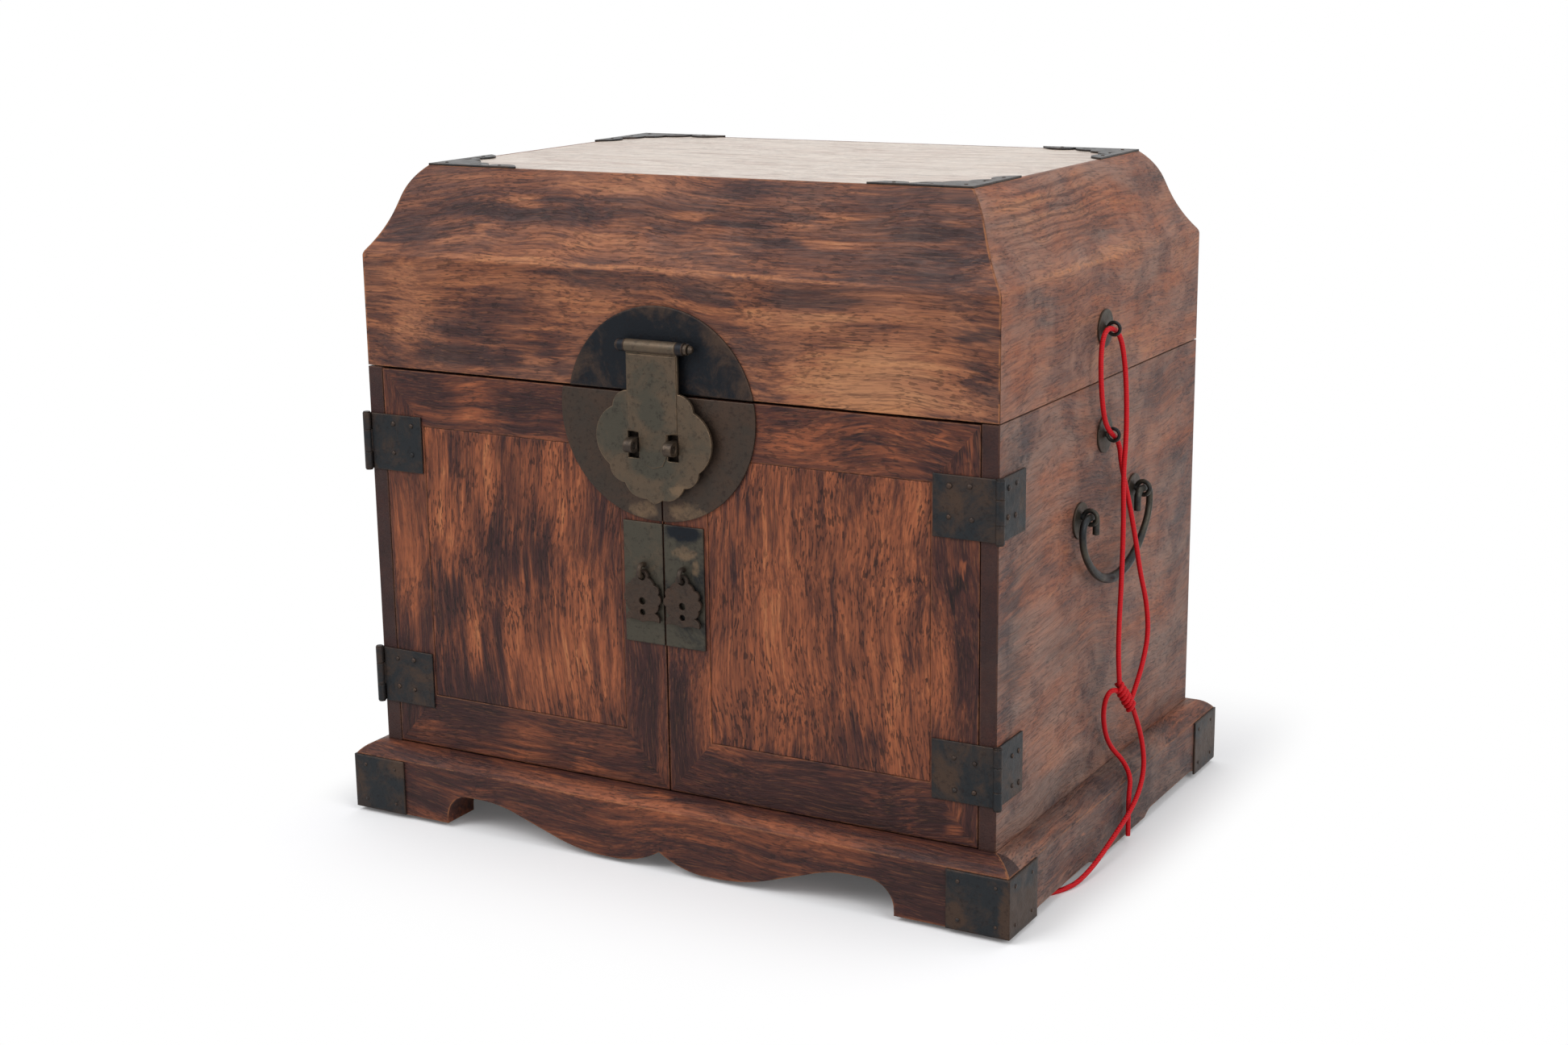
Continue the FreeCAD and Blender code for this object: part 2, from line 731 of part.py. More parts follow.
def bail():
    """The right handle: thick at the bottom, thin at its ends, which turn in
    through the rings."""
    half, depth, slack = mm("bail_half_width"), mm("bail_depth"), mm("bail_slack")
    turn = math.radians(50)
    neck, hook, tip = mm("bail_neck"), mm("bail_hook"), mm("bail_tip")
    side = mm("handle_middle")
    across = mm("handle_x")
    reach = (mm("handle_back") - mm("handle_front")) / 2
    spread = (half - (depth - neck)) / (math.sin(turn) - 1 + math.cos(turn))
    small = half - spread * math.sin(turn)
    large = small + spread
    start = reach - slack
    z = mm("handle_z")

    def at(y, up):
        return Vector(across, side + y, z + up)

    edges = [Part.LineSegment(at(start - hook, -hook - tip), at(start - hook, -hook)).toShape(),
             arc_about((start, -hook), hook, 180, 90, across, side),
             Part.LineSegment(at(start, 0), at(half - neck, 0)).toShape(),
             arc_about((half - neck, -neck), neck, 90, 0, across, side),
             arc_about((half - small, -neck), small, 0, -40, across, side),
             arc_about((0, -neck + spread * math.cos(turn)), large, -40, -90, across, side)]
    thin, thick = mm("bail_end_radius"), mm("bail_middle_radius")
    corner = edges[4].valueAt(edges[4].LastParameter)
    straight = Part.Wire(edges[:5]).makePipeShell(
        [many_sided(at(start - hook, -hook - tip), Vector(0, 0, 1), thin, BAIL_SIDES)], True, False)
    heading = edges[5].tangentAt(edges[5].FirstParameter)
    swell = Part.Wire([edges[5]]).makePipeShell(
        [many_sided(corner, heading, thin, BAIL_SIDES),
         many_sided(at(0, -depth), Vector(0, -1, 0), thick, BAIL_SIDES)], True, False)
    axle = Part.makeCylinder(thin, half - neck - start, at(start, 0), Vector(0, 1, 0))
    pieces = [straight, swell, axle]
    far = [piece.mirror(at(0, 0), Vector(0, 1, 0)) for piece in pieces]
    handle = doc.addObject("Part::Feature", "handle_right")
    handle.Shape = pieces[0].fuse(pieces[1:] + far).removeSplitter()
    node("handle_right", handle)
    node("handle_left", mirrored("handle_left_twin", handle))


# Hinges
def door_hinges():
    """Both right-hand hinges: leaf on the door, leaf round the side, and a pin."""
    door_leaves, case_leaves, pins = [], [], []
    for which, middle in (("upper", "seam - upper_hinge_drop"), ("lower", "plinth_top + lower_hinge_rise")):
        name = which + "_hinge"
        low, high = "(%s - hinge_tall / 2)" % middle, "(%s + hinge_tall / 2)" % middle
        inner_low = "(%s - knuckle_middle / 2)" % middle
        inner_high = "(%s + knuckle_middle / 2)" % middle
        bore = "hinge_pin_radius + pin_clearance"

        # door leaf: a plate that reaches the barrel at its middle only
        edge = "hinge_x - barrel_radius - barrel_clearance"
        plate = block(name + "_door_plate", ("half_width - door_leaf", edge),
                      ("-face_metal", "-half_depth"), (low, high))
        tab = block(name + "_door_tab", ("half_width - door_leaf / 2", "hinge_x - hinge_out + 0.1"),
                    ("-face_metal", "-half_depth"), (inner_low, inner_high))
        bore_cut = rod(name + "_door_bore", "z", ("hinge_x", "-hinge_y", low), "hinge_tall", bore)
        leaf = less(name + "_door_leaf",
                    joined(name + "_door_union", plate, tab,
                           rod(name + "_door_barrel", "z", ("hinge_x", "-hinge_y", inner_low),
                               "knuckle_middle", "barrel_radius")), bore_cut)
        door_leaves.append(leaf)

        # case leaf: a plate on the side face with the end knuckles
        front = "-hinge_y + barrel_radius + barrel_clearance"
        plate = block(name + "_case_plate", ("half_width", "half_width + sheet_metal"),
                      (front, "-half_depth + case_leaf"), (low, high))
        ends = []
        for end, start, stop in (("foot", low, "%s - knuckle_gap" % inner_low),
                                 ("head", "%s + knuckle_gap" % inner_high, high)):
            ends.append(block(name + end + "_tab", ("half_width", "half_width + sheet_metal"),
                              ("-half_depth - 0.3", "-half_depth + case_leaf / 2"), (start, stop)))
            ends.append(rod(name + end + "_barrel", "z", ("hinge_x", "-hinge_y", start),
                            "%s - (%s)" % (stop, start), "barrel_radius"))
        bore_cut = rod(name + "_case_bore", "z", ("hinge_x", "-hinge_y", low), "hinge_tall", bore)
        case_leaves.append(less(name + "_case_leaf", joined(name + "_case_union", plate, *ends), bore_cut))

        pin = rod(name + "_pin", "z", ("hinge_x", "-hinge_y", low), "hinge_tall", "hinge_pin_radius")
        caps = [rod(name + "_cap_" + end, "z", ("hinge_x", "-hinge_y", z), "pin_cap", "barrel_radius - 0.3")
                for end, z in (("foot", "%s - pin_cap" % low), ("head", high))]
        pins.append(joined(name + "_pin_whole", pin, *caps))

    for label, pieces in (("door_hinge_case_leaves", case_leaves), ("door_hinge_pins", pins)):
        right = group(label + "_right", *pieces)
        node(label, group(label + "_all", right, mirrored(label + "_left", right)))
    return group("door_leaves_right", *door_leaves)


def lid_hinges():
    """Two plate hinges behind the seam."""
    case_leaf, lid_leaf, pin_list = [], [], []
    for side, name in (("-", "left"), ("", "right")):
        middle = "(%slid_hinge_place)" % side
        low, high = "(%s - lid_hinge_width / 2)" % middle, "(%s + lid_hinge_width / 2)" % middle
        thirds = ["(%s + lid_hinge_width * %s / 3)" % (low, share) for share in range(4)]
        bore = "hinge_pin_radius + pin_clearance"
        axis = ("lid_hinge_y", "seam")
        case_plate = block(name + "_back_plate", (low, high), ("half_depth", "half_depth + sheet_metal"),
                           ("seam - lid_hinge_leaf", "seam - barrel_radius - barrel_clearance"))
        lid_plate = block(name + "_lid_plate", (low, high), ("half_depth", "half_depth + sheet_metal"),
                          ("seam + barrel_radius + barrel_clearance", "seam + lid_hinge_leaf"))
        case_parts, lid_parts = [case_plate], [lid_plate]
        for share in range(3):
            start = "%s + %s" % (thirds[share], "knuckle_gap / 2" if share else "0")
            stop = "%s - %s" % (thirds[share + 1], "knuckle_gap / 2" if share < 2 else "0")
            barrel = rod("%s_back_barrel_%d" % (name, share), "x", (start,) + axis,
                         "%s - (%s)" % (stop, start), "barrel_radius")
            z = ("seam - lid_hinge_leaf / 2", "seam")
            if share == 1:
                z = ("seam", "seam + lid_hinge_leaf / 2")
            tab = block("%s_back_tab_%d" % (name, share), (start, stop),
                        ("half_depth + 0.05", "half_depth + sheet_metal"), z)
            (lid_parts if share == 1 else case_parts).extend([barrel, tab])
        for parts, store, label in ((case_parts, case_leaf, "_case"), (lid_parts, lid_leaf, "_lid")):
            hole = rod(name + label + "_back_bore", "x", (low,) + axis, "lid_hinge_width", bore)
            union = joined(name + label + "_back_union", *parts)
            store.append(less(name + label + "_back_leaf", union, hole))
        pin = rod(name + "_back_pin", "x", (low,) + axis, "lid_hinge_width", "hinge_pin_radius")
        caps = [rod("%s_back_cap_%s" % (name, end), "x", (x,) + axis, "pin_cap", "barrel_radius - 0.3")
                for end, x in (("foot", "%s - pin_cap" % low), ("head", high))]
        pin_list.append(joined(name + "_back_pin_whole", pin, *caps))
    node("lid_hinge_case_leaves", group("lid_hinge_case_leaves_all", *case_leaf))
    node("lid_hinge_lid_leaves", group("lid_hinge_lid_leaves_all", *lid_leaf))
    node("lid_hinge_pins", group("lid_hinge_pins_all", *pin_list))


# Doors
def door_boards():
    """The right door: a mitred frame round a flush panel."""
    x = (mm("door_inner"), mm("door_outer"))
    z = (mm("door_foot"), mm("door_head"))
    stile, rail = mm("stile"), mm("rail")
    inner_x = (x[0] + stile, x[1] - stile)
    inner_z = (z[0] + rail, z[1] - rail)
    outlines = {
        "stile_inner": [(x[0], z[0]), (inner_x[0], inner_z[0]), (inner_x[0], inner_z[1]), (x[0], z[1])],
        "stile_outer": [(x[1], z[0]), (x[1], z[1]), (inner_x[1], inner_z[1]), (inner_x[1], inner_z[0])],
        "rail_foot": [(x[0], z[0]), (x[1], z[0]), (inner_x[1], inner_z[0]), (inner_x[0], inner_z[0])],
        "rail_head": [(x[0], z[1]), (inner_x[0], inner_z[1]), (inner_x[1], inner_z[1]), (x[1], z[1])],
    }
    boards = [slab("door_" + name, "front", "-half_depth", "door_board", outline)
              for name, outline in outlines.items()]
    panel = slab("door_panel", "front", "-half_depth", "door_board", rectangle(*inner_x, *inner_z))
    front_face = [index for index, face in enumerate(panel.Tip.Shape.Faces, start=1)
                  if abs(face.CenterOfMass.y + mm("half_depth")) < 1e-6][0]
    pad = panel.Tip
    arris = panel.newObject("PartDesign::Chamfer", "door_panel_arris")
    arris.Base = (pad, ["Face%d" % front_face])
    bind(arris, "Size", "arris")
    panel.Tip = arris
    doc.recompute()
    return group("door_frame_boards", *boards), panel


def lock_plates():
    """A round plate in three pieces: one on the lid, one on each door."""
    face = ("-face_metal", "-half_depth")

    def trimmed(name, centre, x, z):
        disc = rod(name + "_disc", "y", (centre, "-face_metal", "lock_z"), "sheet_metal", "lock_radius")
        return shared(name, disc, block(name + "_field", x, face, z))

    below = ("lock_z - lock_radius - 1", "door_head")
    right = trimmed("lock_right", "0", ("door_inner", "lock_radius + 1"), below)
    left = trimmed("lock_left", "-lock_shift", ("-lock_radius - lock_shift - 1", "-door_inner"), below)
    plate = trimmed("lock_upper_plate", "0", ("-lock_radius - 1", "lock_radius + 1"),
                    ("lid_foot", "lock_z + lock_radius + 1"))

    # outer knuckles of the hasp on lugs from the plate
    parts = [plate]
    outer = "hasp_knuckle / 2 + knuckle_gap"
    for side, start in (("left", "hasp_centre - (%s) - hasp_outer_knuckle" % outer),
                        ("right", "hasp_centre + %s" % outer)):
        at = (start, "-hasp_axis_y", "hasp_axis_z")
        parts.append(rod("hasp_knuckle_" + side, "x", at, "hasp_outer_knuckle", "hasp_barrel_radius"))
        parts.append(block("hasp_lug_" + side, (start, "%s + hasp_outer_knuckle" % start),
                           ("-hasp_axis_y", "-face_metal"),
                           ("hasp_axis_z - hasp_barrel_radius / 2", "hasp_axis_z + hasp_barrel_radius / 2")))
    hole = rod("hasp_outer_bore", "x", ("hasp_centre - hasp_strap", "-hasp_axis_y", "hasp_axis_z"),
               "2 * hasp_strap", "hasp_pin_radius + pin_clearance")
    node("lock_plate_upper", less("lock_plate_upper_whole", joined("lock_plate_union", *parts), hole))
    reach = "%s + hasp_outer_knuckle" % outer
    pin = rod("hasp_pin_bar", "x", ("hasp_centre - (%s)" % reach, "-hasp_axis_y", "hasp_axis_z"),
              "2 * (%s)" % reach, "hasp_pin_radius")
    ends = (("left", "hasp_centre - (%s) - 1" % reach, "1"), ("right", "hasp_centre + %s" % reach, "2"))
    heads = [rod("hasp_head_" + side, "x", (at, "-hasp_axis_y", "hasp_axis_z"), length,
                 "hasp_barrel_radius - 0.6")
             for side, at, length in ends]
    node("hasp_pin", joined("hasp_pin_whole", pin, *heads))
    return left, right


# The right half of the lobed hasp, in shares of its half width and of its reach below the seam.
HASP_EDGE = [
    (0, -1),
    ((0.069, -0.983), (0.137, -0.956)),
    ((0.38, -0.926), (0.514, -0.824)),
    ((0.698, -0.78), (0.773, -0.672)),
    ((1, -0.394), (0.698, -0.127)),
    ((0.611, -0.015), (0.439, 0.027)),
]


def hasp():
    """The lobed hasp plate with its strap, two slots and the barrel."""
    centre, seam = mm("hasp_centre"), mm("seam")
    edge = scaled(HASP_EDGE, mm("hasp_half_width"), mm("hasp_reach"), seam)
    edge[-1] = (edge[-1][0], (mm("hasp_strap") / 2, edge[-1][1][1]))
    edge.append((mm("hasp_strap") / 2, mm("hasp_axis_z")))
    outline = moved(symmetric(edge), centre, 0)
    near, far = mm("slot_near"), mm("slot_near") + mm("slot_width")
    low, high = mm("slot_z") - mm("slot_height") / 2, mm("slot_z") + mm("slot_height") / 2
    slots = [rectangle(centre + near, centre + far, low, high),
             rectangle(centre - far, centre - near, low, high)]
    plate = slab("hasp_plate", "front", "-hasp_axis_y - hasp_metal / 2", "hasp_metal", outline, *slots)
    start = ("hasp_centre - hasp_knuckle / 2", "-hasp_axis_y", "hasp_axis_z")
    whole = joined("hasp_union", plate, rod("hasp_barrel", "x", start, "hasp_knuckle", "hasp_barrel_radius"))
    hole = rod("hasp_bore", "x", ("hasp_centre - hasp_strap", "-hasp_axis_y", "hasp_axis_z"),
               "2 * hasp_strap", "hasp_pin_radius + pin_clearance")
    ends = (("left", "hasp_centre - hasp_knuckle / 2 - 1"), ("right", "hasp_centre + hasp_knuckle / 2"))
    trims = [block("hasp_trim_" + side, (x, "%s + 1" % x), ("-hasp_axis_y - 5", "-hasp_axis_y + 5"),
                   ("hasp_axis_z - hasp_barrel_radius - barrel_clearance", "hasp_axis_z + 5"))
             for side, x in ends]
    node("hasp", less("hasp_whole", whole, hole, *trims))


def lock_staple(name, x):
    """A staple that stands through the hasp's slot, with its hole along X."""
    face = -mm("face_metal")
    half, reach = mm("staple_height") / 2, mm("staple_reach")
    z = mm("slot_z")
    middle = mm("hasp_centre") + x * mm("slot_x")
    outline = [(face, z - half), (face, z + half), (face - reach, z + half),
               ((face - reach - half, z), (face - reach, z - half))]
    side = "hasp_centre + slot_x - staple_width / 2" if x > 0 else "hasp_centre - slot_x - staple_width / 2"
    return slab(name, "side", side, "staple_width", outline,
                ("circle", (face - reach, z), mm("staple_hole")))


def pull_staple():
    """A wire staple on the right pull plate, cut off at the plate's face."""
    at = ("pull_place", "-pull_ring_y", "pull_ring_z")
    wire = ring("pull_loop", "x", at, "pull_ring_radius", "pull_wire")
    return less("pull_staple", wire, block("pull_staple_end", ("pull_place - 9", "pull_place + 9"),
                                           ("-face_metal", "-face_metal + 9"),
                                           ("pull_ring_z - 9", "pull_ring_z + 9")))


# The right half of the pendant, in shares of its half width and of its drop below the ring.
PENDANT_EDGE = [
    (0, -1),
    ((0.511, -0.948), (1, -0.974)),
    (1, -0.891),
    ((0.84, -0.8), (0.596, -0.77)),
    ((0.904, -0.713), (0.936, -0.596)),
    ((1.117, -0.487), (0.947, -0.365)),
    ((0.979, -0.235), (0.702, -0.17)),
    ((0.574, -0.078), (0.362, -0.026)),
    ((0.266, 0.096), (0, 0.148)),
]


def pendant():
    """A small openwork drop that hangs from the pull staple."""
    hang = mm("pull_ring_z") - mm("pull_ring_radius")
    place = mm("pull_place")
    drop_length = mm("pendant_drop")
    edge = scaled(PENDANT_EDGE, mm("pendant_half_width"), drop_length, 0)
    outline = moved(symmetric(edge), place, hang)
    holes = [("circle", (place, hang), mm("pendant_hang_hole")),
             ("circle", (place, hang - 0.535 * drop_length), mm("pendant_hole")),
             ("circle", (place, hang - 0.778 * drop_length), mm("pendant_foot_hole"))]
    drop = slab("pendant_right", "front", "-pull_ring_y - pendant_metal / 2", "pendant_metal",
                outline, *holes)
    node("pendant_right", drop)
    node("pendant_left", mirrored("pendant_left_twin", drop))


def doors():
    frame, panel = door_boards()
    leaves = door_hinges()
    lock_left, lock_right = lock_plates()
    plate = block("pull_plate", ("door_inner", "door_inner + pull_plate_width"),
                  ("-face_metal", "-half_depth"), ("pull_top - pull_plate_height", "pull_top"))
    wire = pull_staple()
    staples = group("staples_right", lock_staple("staple_right", 1), wire)
    right = {"frame": frame, "panel": panel, "hinge_leaves": leaves, "pull_plate": plate,
             "lock_plate": lock_right, "staples": staples}
    left = {name: mirrored("left_" + name, right[name])
            for name in ("frame", "panel", "hinge_leaves", "pull_plate")}
    left["lock_plate"] = lock_left
    left["staples"] = group("staples_left", lock_staple("staple_left", -1), mirrored("left_wire", wire))
    for name, piece in right.items():
        node("door_right_" + name, piece)
    for name, piece in left.items():
        node("door_left_" + name, piece)


# Drawers
def drawer(name, floor, side):
    """One drawer with its boards and knob, in its place on the right."""
    x = ("shelf_board / 2 + drawer_gap", "inner_width - drawer_gap")
    z = ("%s + drawer_foot_gap" % floor, "%s + row_height - drawer_gap" % floor)
    face, back = "-drawer_y", "back_y - drawer_back_gap"
    inner = ("%s + drawer_side" % x[0], "%s - drawer_side" % x[1])
    behind = "%s + drawer_front" % face
    boards = [
        block(name + "_front", x, (face, behind), z),
        block(name + "_wall_inner", (x[0], inner[0]), (behind, back), z),
        block(name + "_wall_outer", (inner[1], x[1]), (behind, back), z),
        block(name + "_tail", inner, ("%s - drawer_side" % back, back), z),
        block(name + "_base", inner, (behind, "%s - drawer_side" % back), (z[0], "%s + drawer_base" % z[0])),
    ]
    box = group(name + "_box", *boards)
    middle = ("(%s + %s) / 2" % x, "(%s + %s) / 2" % z)
    knob = joined(name + "_knob_round",
                  rod(name + "_rose", "y", (middle[0], "%s - sheet_metal" % face, middle[1]),
                      "sheet_metal", "knob_plate"),
                  rod(name + "_neck", "y", (middle[0], "%s - knob_reach + 1" % face, middle[1]),
                      "knob_reach - 1", "knob_radius / 2"),
                  rod(name + "_head", "y", (middle[0], "%s - knob_reach" % face, middle[1]),
                      "knob_reach / 2", "knob_radius"))
    if side == "left":
        box, knob = mirrored(name + "_box_twin", box), mirrored(name + "_knob_twin", knob)
    node(name, box)
    node(name + "_knob", knob)


# Cord
LOOP = [(189.2, 4.4, 74.3), (189.9, 8.6, 80.3), (190.3, 17.2, 90.5), (189.6, 26.6, 104), (188.4, 25.8, 121),
        (187.4, 18.2, 138), (186.6, 12.6, 157), (185.6, 4.6, 178), (182.2, 2.6, 195), (180.5, 3.6, 206.8),
        (179.3, -9.6, 214.6), (180.9, -19.8, 226), (181.7, -25.6, 244), (180.4, -22, 259),
        (179.4, -12, 265), (180, 2.6, 260.2), (182.4, 4, 246), (185, 0.4, 229), (186.8, -3.4, 211),
        (186.2, -4.8, 192), (185.4, -0.8, 168), (185.6, -2.2, 140), (185.5, -4.4, 112), (186.3, -5.6, 95),
        (186.8, -4.6, 85.2)]
SHORT_TAIL = [(186, -6.9, 83.2), (185, -10.6, 84.4), (183.4, -13.2, 81.6), (181.4, -11.6, 75),
              (179.6, -7, 66.6), (178.4, -0.4, 56.4), (178.6, 7.6, 47.2), (183.2, 11.6, 40.6),
              (189.4, 7.2, 34), (189.8, 3.6, 24.6), (189.2, 5.6, 13.6), (189.3, 5.2, 3.2)]
LONG_TAIL = [(189.8, 6.8, 70.2), (190.4, 11.4, 62.6), (191.2, 17.4, 50), (192.2, 18.6, 36.4),
             (192.6, 11.4, 25.4), (192.6, -2.4, 18.4), (192.4, -17, 14.2), (191.6, -33, 8.8),
             (190.6, -49, 4.2), (188.4, -66, 1.35), (179, -82, 1.25), (167, -91, 1.25), (155, -93.8, 1.25)]
KNOT = [(186.4, -5.4, 85.4), (189.6, 5.2, 71.2)]
KNOT_TURNS = 5


def route(points):
    """Straight runs joined by tangent arcs, and the arcs' radii."""
    points = [Vector(*point) for point in points]
    edges, radii = [], []
    here = points[0]
    for before, corner, after in zip(points, points[1:], points[2:]):
        back, ahead = before - corner, after - corner
        shorter = min(back.Length, ahead.Length)
        back.normalize()
        ahead.normalize()
        half_turn = (math.pi - back.getAngle(ahead)) / 2
        radius = 0.45 * shorter / math.tan(half_turn)
        radii.append(radius)
        start = corner + back * (0.45 * shorter)
        end = corner + ahead * (0.45 * shorter)
        bisector = back + ahead
        bisector.normalize()
        middle = corner + bisector * (radius / math.cos(half_turn) - radius)
        edges.append(Part.LineSegment(here, start).toShape())
        edges.append(Part.Arc(start, middle, end).toShape())
        here = end
    edges.append(Part.LineSegment(here, points[-1]).toShape())
    return Part.Wire(edges), radii


def tube(name, points):
    """A cord laid along its route, eight-sided."""
    path, radii = route(points)
    radius = mm("cord_width") / 2
    first = Vector(*points[0])
    heading = Vector(*points[1]) - first
    section = many_sided(first, heading, radius, WIRE_SIDES)
    shape = path.makePipeShell([section], True, False)
    expected = Part.Face(section).Area * path.Length
    print("%s: length %.1f, least radius %.1f, radii %s, volume ratio %.4f" % (
        name, path.Length, min(radii), " ".join("%.0f" % value for value in radii),
        shape.Volume / expected))
    cord = doc.addObject("Part::Feature", name)
    cord.Shape = shape
    node(name, cord)
    return shape


def cord():
    tube("cord_loop", LOOP)
    tube("cord_tail_short", SHORT_TAIL)
    tube("cord_tail_long", LONG_TAIL)
    low, high = Vector(*KNOT[0]), Vector(*KNOT[1])
    axis = high - low
    waist, belly = mm("cord_width") * 0.8, mm("cord_width") * 1.2
    step = axis.Length / KNOT_TURNS
    outline = [(0, 0), (waist, 0)]
    for turn in range(KNOT_TURNS):
        outline.append(((belly, (turn + 0.5) * step), (waist, (turn + 1) * step)))
    outline.append((0, axis.Length))
    profile = doc.addObject("Sketcher::SketchObject", "cord_knot_profile")
    draw(profile, outline)
    knot = doc.addObject("Part::Revolution", "cord_knot")
    knot.Source = profile
    knot.Axis = Vector(0, 1, 0)
    knot.Angle = 360
    knot.Solid = True
    knot.Placement = FreeCAD.Placement(low, Rotation(Vector(0, 1, 0), axis))
    node("cord_knot", knot)


# The chest
plinth()
case()
lid()
side_metal()
bail()
lid_hinges()
doors()
hasp()
pendant()
for row_name, row_floor in (("lower", "floor_top"), ("upper", "shelf_top")):
    for hand in ("left", "right"):
        drawer("drawer_%s_%s" % (row_name, hand), row_floor, hand)
cord()
doc.recompute()

for item in doc.Objects:
    if "Invalid" in item.State or "Error" in item.State:
        raise ValueError("%s is %s" % (item.Label, item.State))
for item in NODES:
    if item.Shape.isNull() or not item.Shape.isValid() or not item.Shape.Solids:
        raise ValueError(item.Label + " has no valid solid")
for item in NODES:
    item.Shape.exportStep("parts/%s.step" % item.Label)
print("%d sub-parts, %d solids" % (len(NODES), sum(len(item.Shape.Solids) for item in NODES)))
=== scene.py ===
"""Finishes, nails, cord and studio of a wooden seal chest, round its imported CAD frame."""

import math
import random
from itertools import product

import bmesh
import bpy
from bpy.props import FloatProperty, FloatVectorProperty, IntProperty, PointerProperty
from bpy.types import Operator, Panel, PropertyGroup
from mathutils import Matrix, Vector


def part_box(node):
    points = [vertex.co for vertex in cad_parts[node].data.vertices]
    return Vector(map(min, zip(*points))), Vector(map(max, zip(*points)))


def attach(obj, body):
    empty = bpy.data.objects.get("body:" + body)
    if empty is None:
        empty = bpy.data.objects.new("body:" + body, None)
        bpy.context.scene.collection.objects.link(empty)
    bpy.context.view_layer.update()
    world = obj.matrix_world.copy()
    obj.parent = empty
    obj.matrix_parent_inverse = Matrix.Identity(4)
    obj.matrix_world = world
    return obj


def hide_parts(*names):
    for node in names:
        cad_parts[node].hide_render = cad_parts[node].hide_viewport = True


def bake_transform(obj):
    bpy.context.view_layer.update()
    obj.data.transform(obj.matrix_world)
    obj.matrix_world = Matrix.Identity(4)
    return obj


bl_info = {
    "name": "Seal Chest",
    "version": (1, 0, 0),
    "blender": (4, 5, 0),
    "location": "View3D > Sidebar > Seal Chest",
    "description": "Worn wood, dark brass, nails, a red cord and a studio for a seal chest",
    "category": "Object",
}

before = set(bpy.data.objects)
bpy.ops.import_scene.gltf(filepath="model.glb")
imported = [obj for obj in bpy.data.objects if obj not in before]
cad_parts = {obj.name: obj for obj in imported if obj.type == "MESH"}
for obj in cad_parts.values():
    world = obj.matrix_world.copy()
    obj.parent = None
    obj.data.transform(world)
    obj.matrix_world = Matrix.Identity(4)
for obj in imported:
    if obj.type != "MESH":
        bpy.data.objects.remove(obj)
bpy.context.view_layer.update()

MM = 0.001

# Measures of the chest, in millimetres from its middle and up from the table.
SHEET = 1  # thickness of the mounts
PLINTH_X, PLINTH_Y = 187, 138.5  # half the plinth's width and depth
CASE_FRONT = -126.3  # front ends of the case's sides
STILE, RAIL = 24, 28  # widths of the boards beside a door's panel, and above and below it
TOP_X, TOP_Y, TOP = 150, 101.5, 337.5  # half the width and depth of the lid's top, and its height
LEAF_X, LEAF_Y = 176, -127.5  # outer faces of the door hinges' leaves, at the sides and in front
HASP_PIN = ((-20.2, -131.5, 260.5), (19.8, -131.5, 260.5))  # the two ends of the hasp's pin
SIGNS = (-1, 1)

# The cord's routes, in metres: the loop through both eyes, then the two tails.
LOOP = [
    (0.1892, 0.0044, 0.0743), (0.1899, 0.0086, 0.0803), (0.1903, 0.0172, 0.0905),
    (0.1896, 0.0266, 0.104), (0.1884, 0.0258, 0.121), (0.1874, 0.0182, 0.138),
    (0.1866, 0.0126, 0.157), (0.1856, 0.0046, 0.178), (0.1822, 0.0026, 0.195),
    (0.1805, 0.0036, 0.2068), (0.1793, -0.0096, 0.2146), (0.1809, -0.0198, 0.226),
    (0.1817, -0.0256, 0.244), (0.1804, -0.022, 0.259), (0.1794, -0.012, 0.265),
    (0.18, 0.0026, 0.2602), (0.1824, 0.004, 0.246), (0.185, 0.0004, 0.229),
    (0.1868, -0.0034, 0.211), (0.1862, -0.0048, 0.192), (0.1854, -0.0008, 0.168),
    (0.1856, -0.0022, 0.14), (0.1855, -0.0044, 0.112), (0.1863, -0.0056, 0.095),
    (0.1868, -0.0046, 0.0852),
]
SHORT_TAIL = [
    (0.186, -0.0069, 0.0832), (0.185, -0.0106, 0.0844), (0.1834, -0.0132, 0.0816),
    (0.1814, -0.0116, 0.075), (0.1796, -0.007, 0.0666), (0.1784, -0.0004, 0.0564),
    (0.1786, 0.0076, 0.0472), (0.1832, 0.0116, 0.0406), (0.1894, 0.0072, 0.034),
    (0.1898, 0.0036, 0.0246), (0.1892, 0.0056, 0.0136), (0.1893, 0.0052, 0.0032),
]
LONG_TAIL = [
    (0.1898, 0.0068, 0.0702), (0.1904, 0.0114, 0.0626), (0.1912, 0.0174, 0.05),
    (0.1922, 0.0186, 0.0364), (0.1926, 0.0114, 0.0254), (0.1926, -0.0024, 0.0184),
    (0.1924, -0.017, 0.0142), (0.1916, -0.033, 0.0088), (0.1906, -0.049, 0.0042),
    (0.1884, -0.066, 0.00135), (0.179, -0.082, 0.00125), (0.167, -0.091, 0.00125),
    (0.155, -0.0938, 0.00125),
]
# The knot: the two ends of its axis, the points in each turn, and then in widths of the cord its
# radius, how far a turn leans and how thick the cord is there.  It is a little oval and uneven.
KNOT_ENDS = (Vector((0.1864, -0.0054, 0.0854)), Vector((0.1896, 0.0052, 0.0712)))
KNOT_POINTS, KNOT_RADIUS, KNOT_LEAN, KNOT_CORD = 10, 0.78, 0.35, 0.94
KNOT_OVAL, KNOT_UNEVEN = 1.15, 0.08


def linear(hexed):
    """A written sRGB colour, such as 8a4b2c, as linear RGBA."""
    parts = [int(hexed[at:at + 2], 16) / 255 for at in (0, 2, 4)]
    return tuple(p / 12.92 if p <= 0.04045 else ((p + 0.055) / 1.055) ** 2.4
                 for p in parts) + (1,)


# Settings


def measure(name, text, default, least):
    """A length property, in metres."""
    return FloatProperty(name=name, description=text, default=default, min=least, unit="LENGTH")


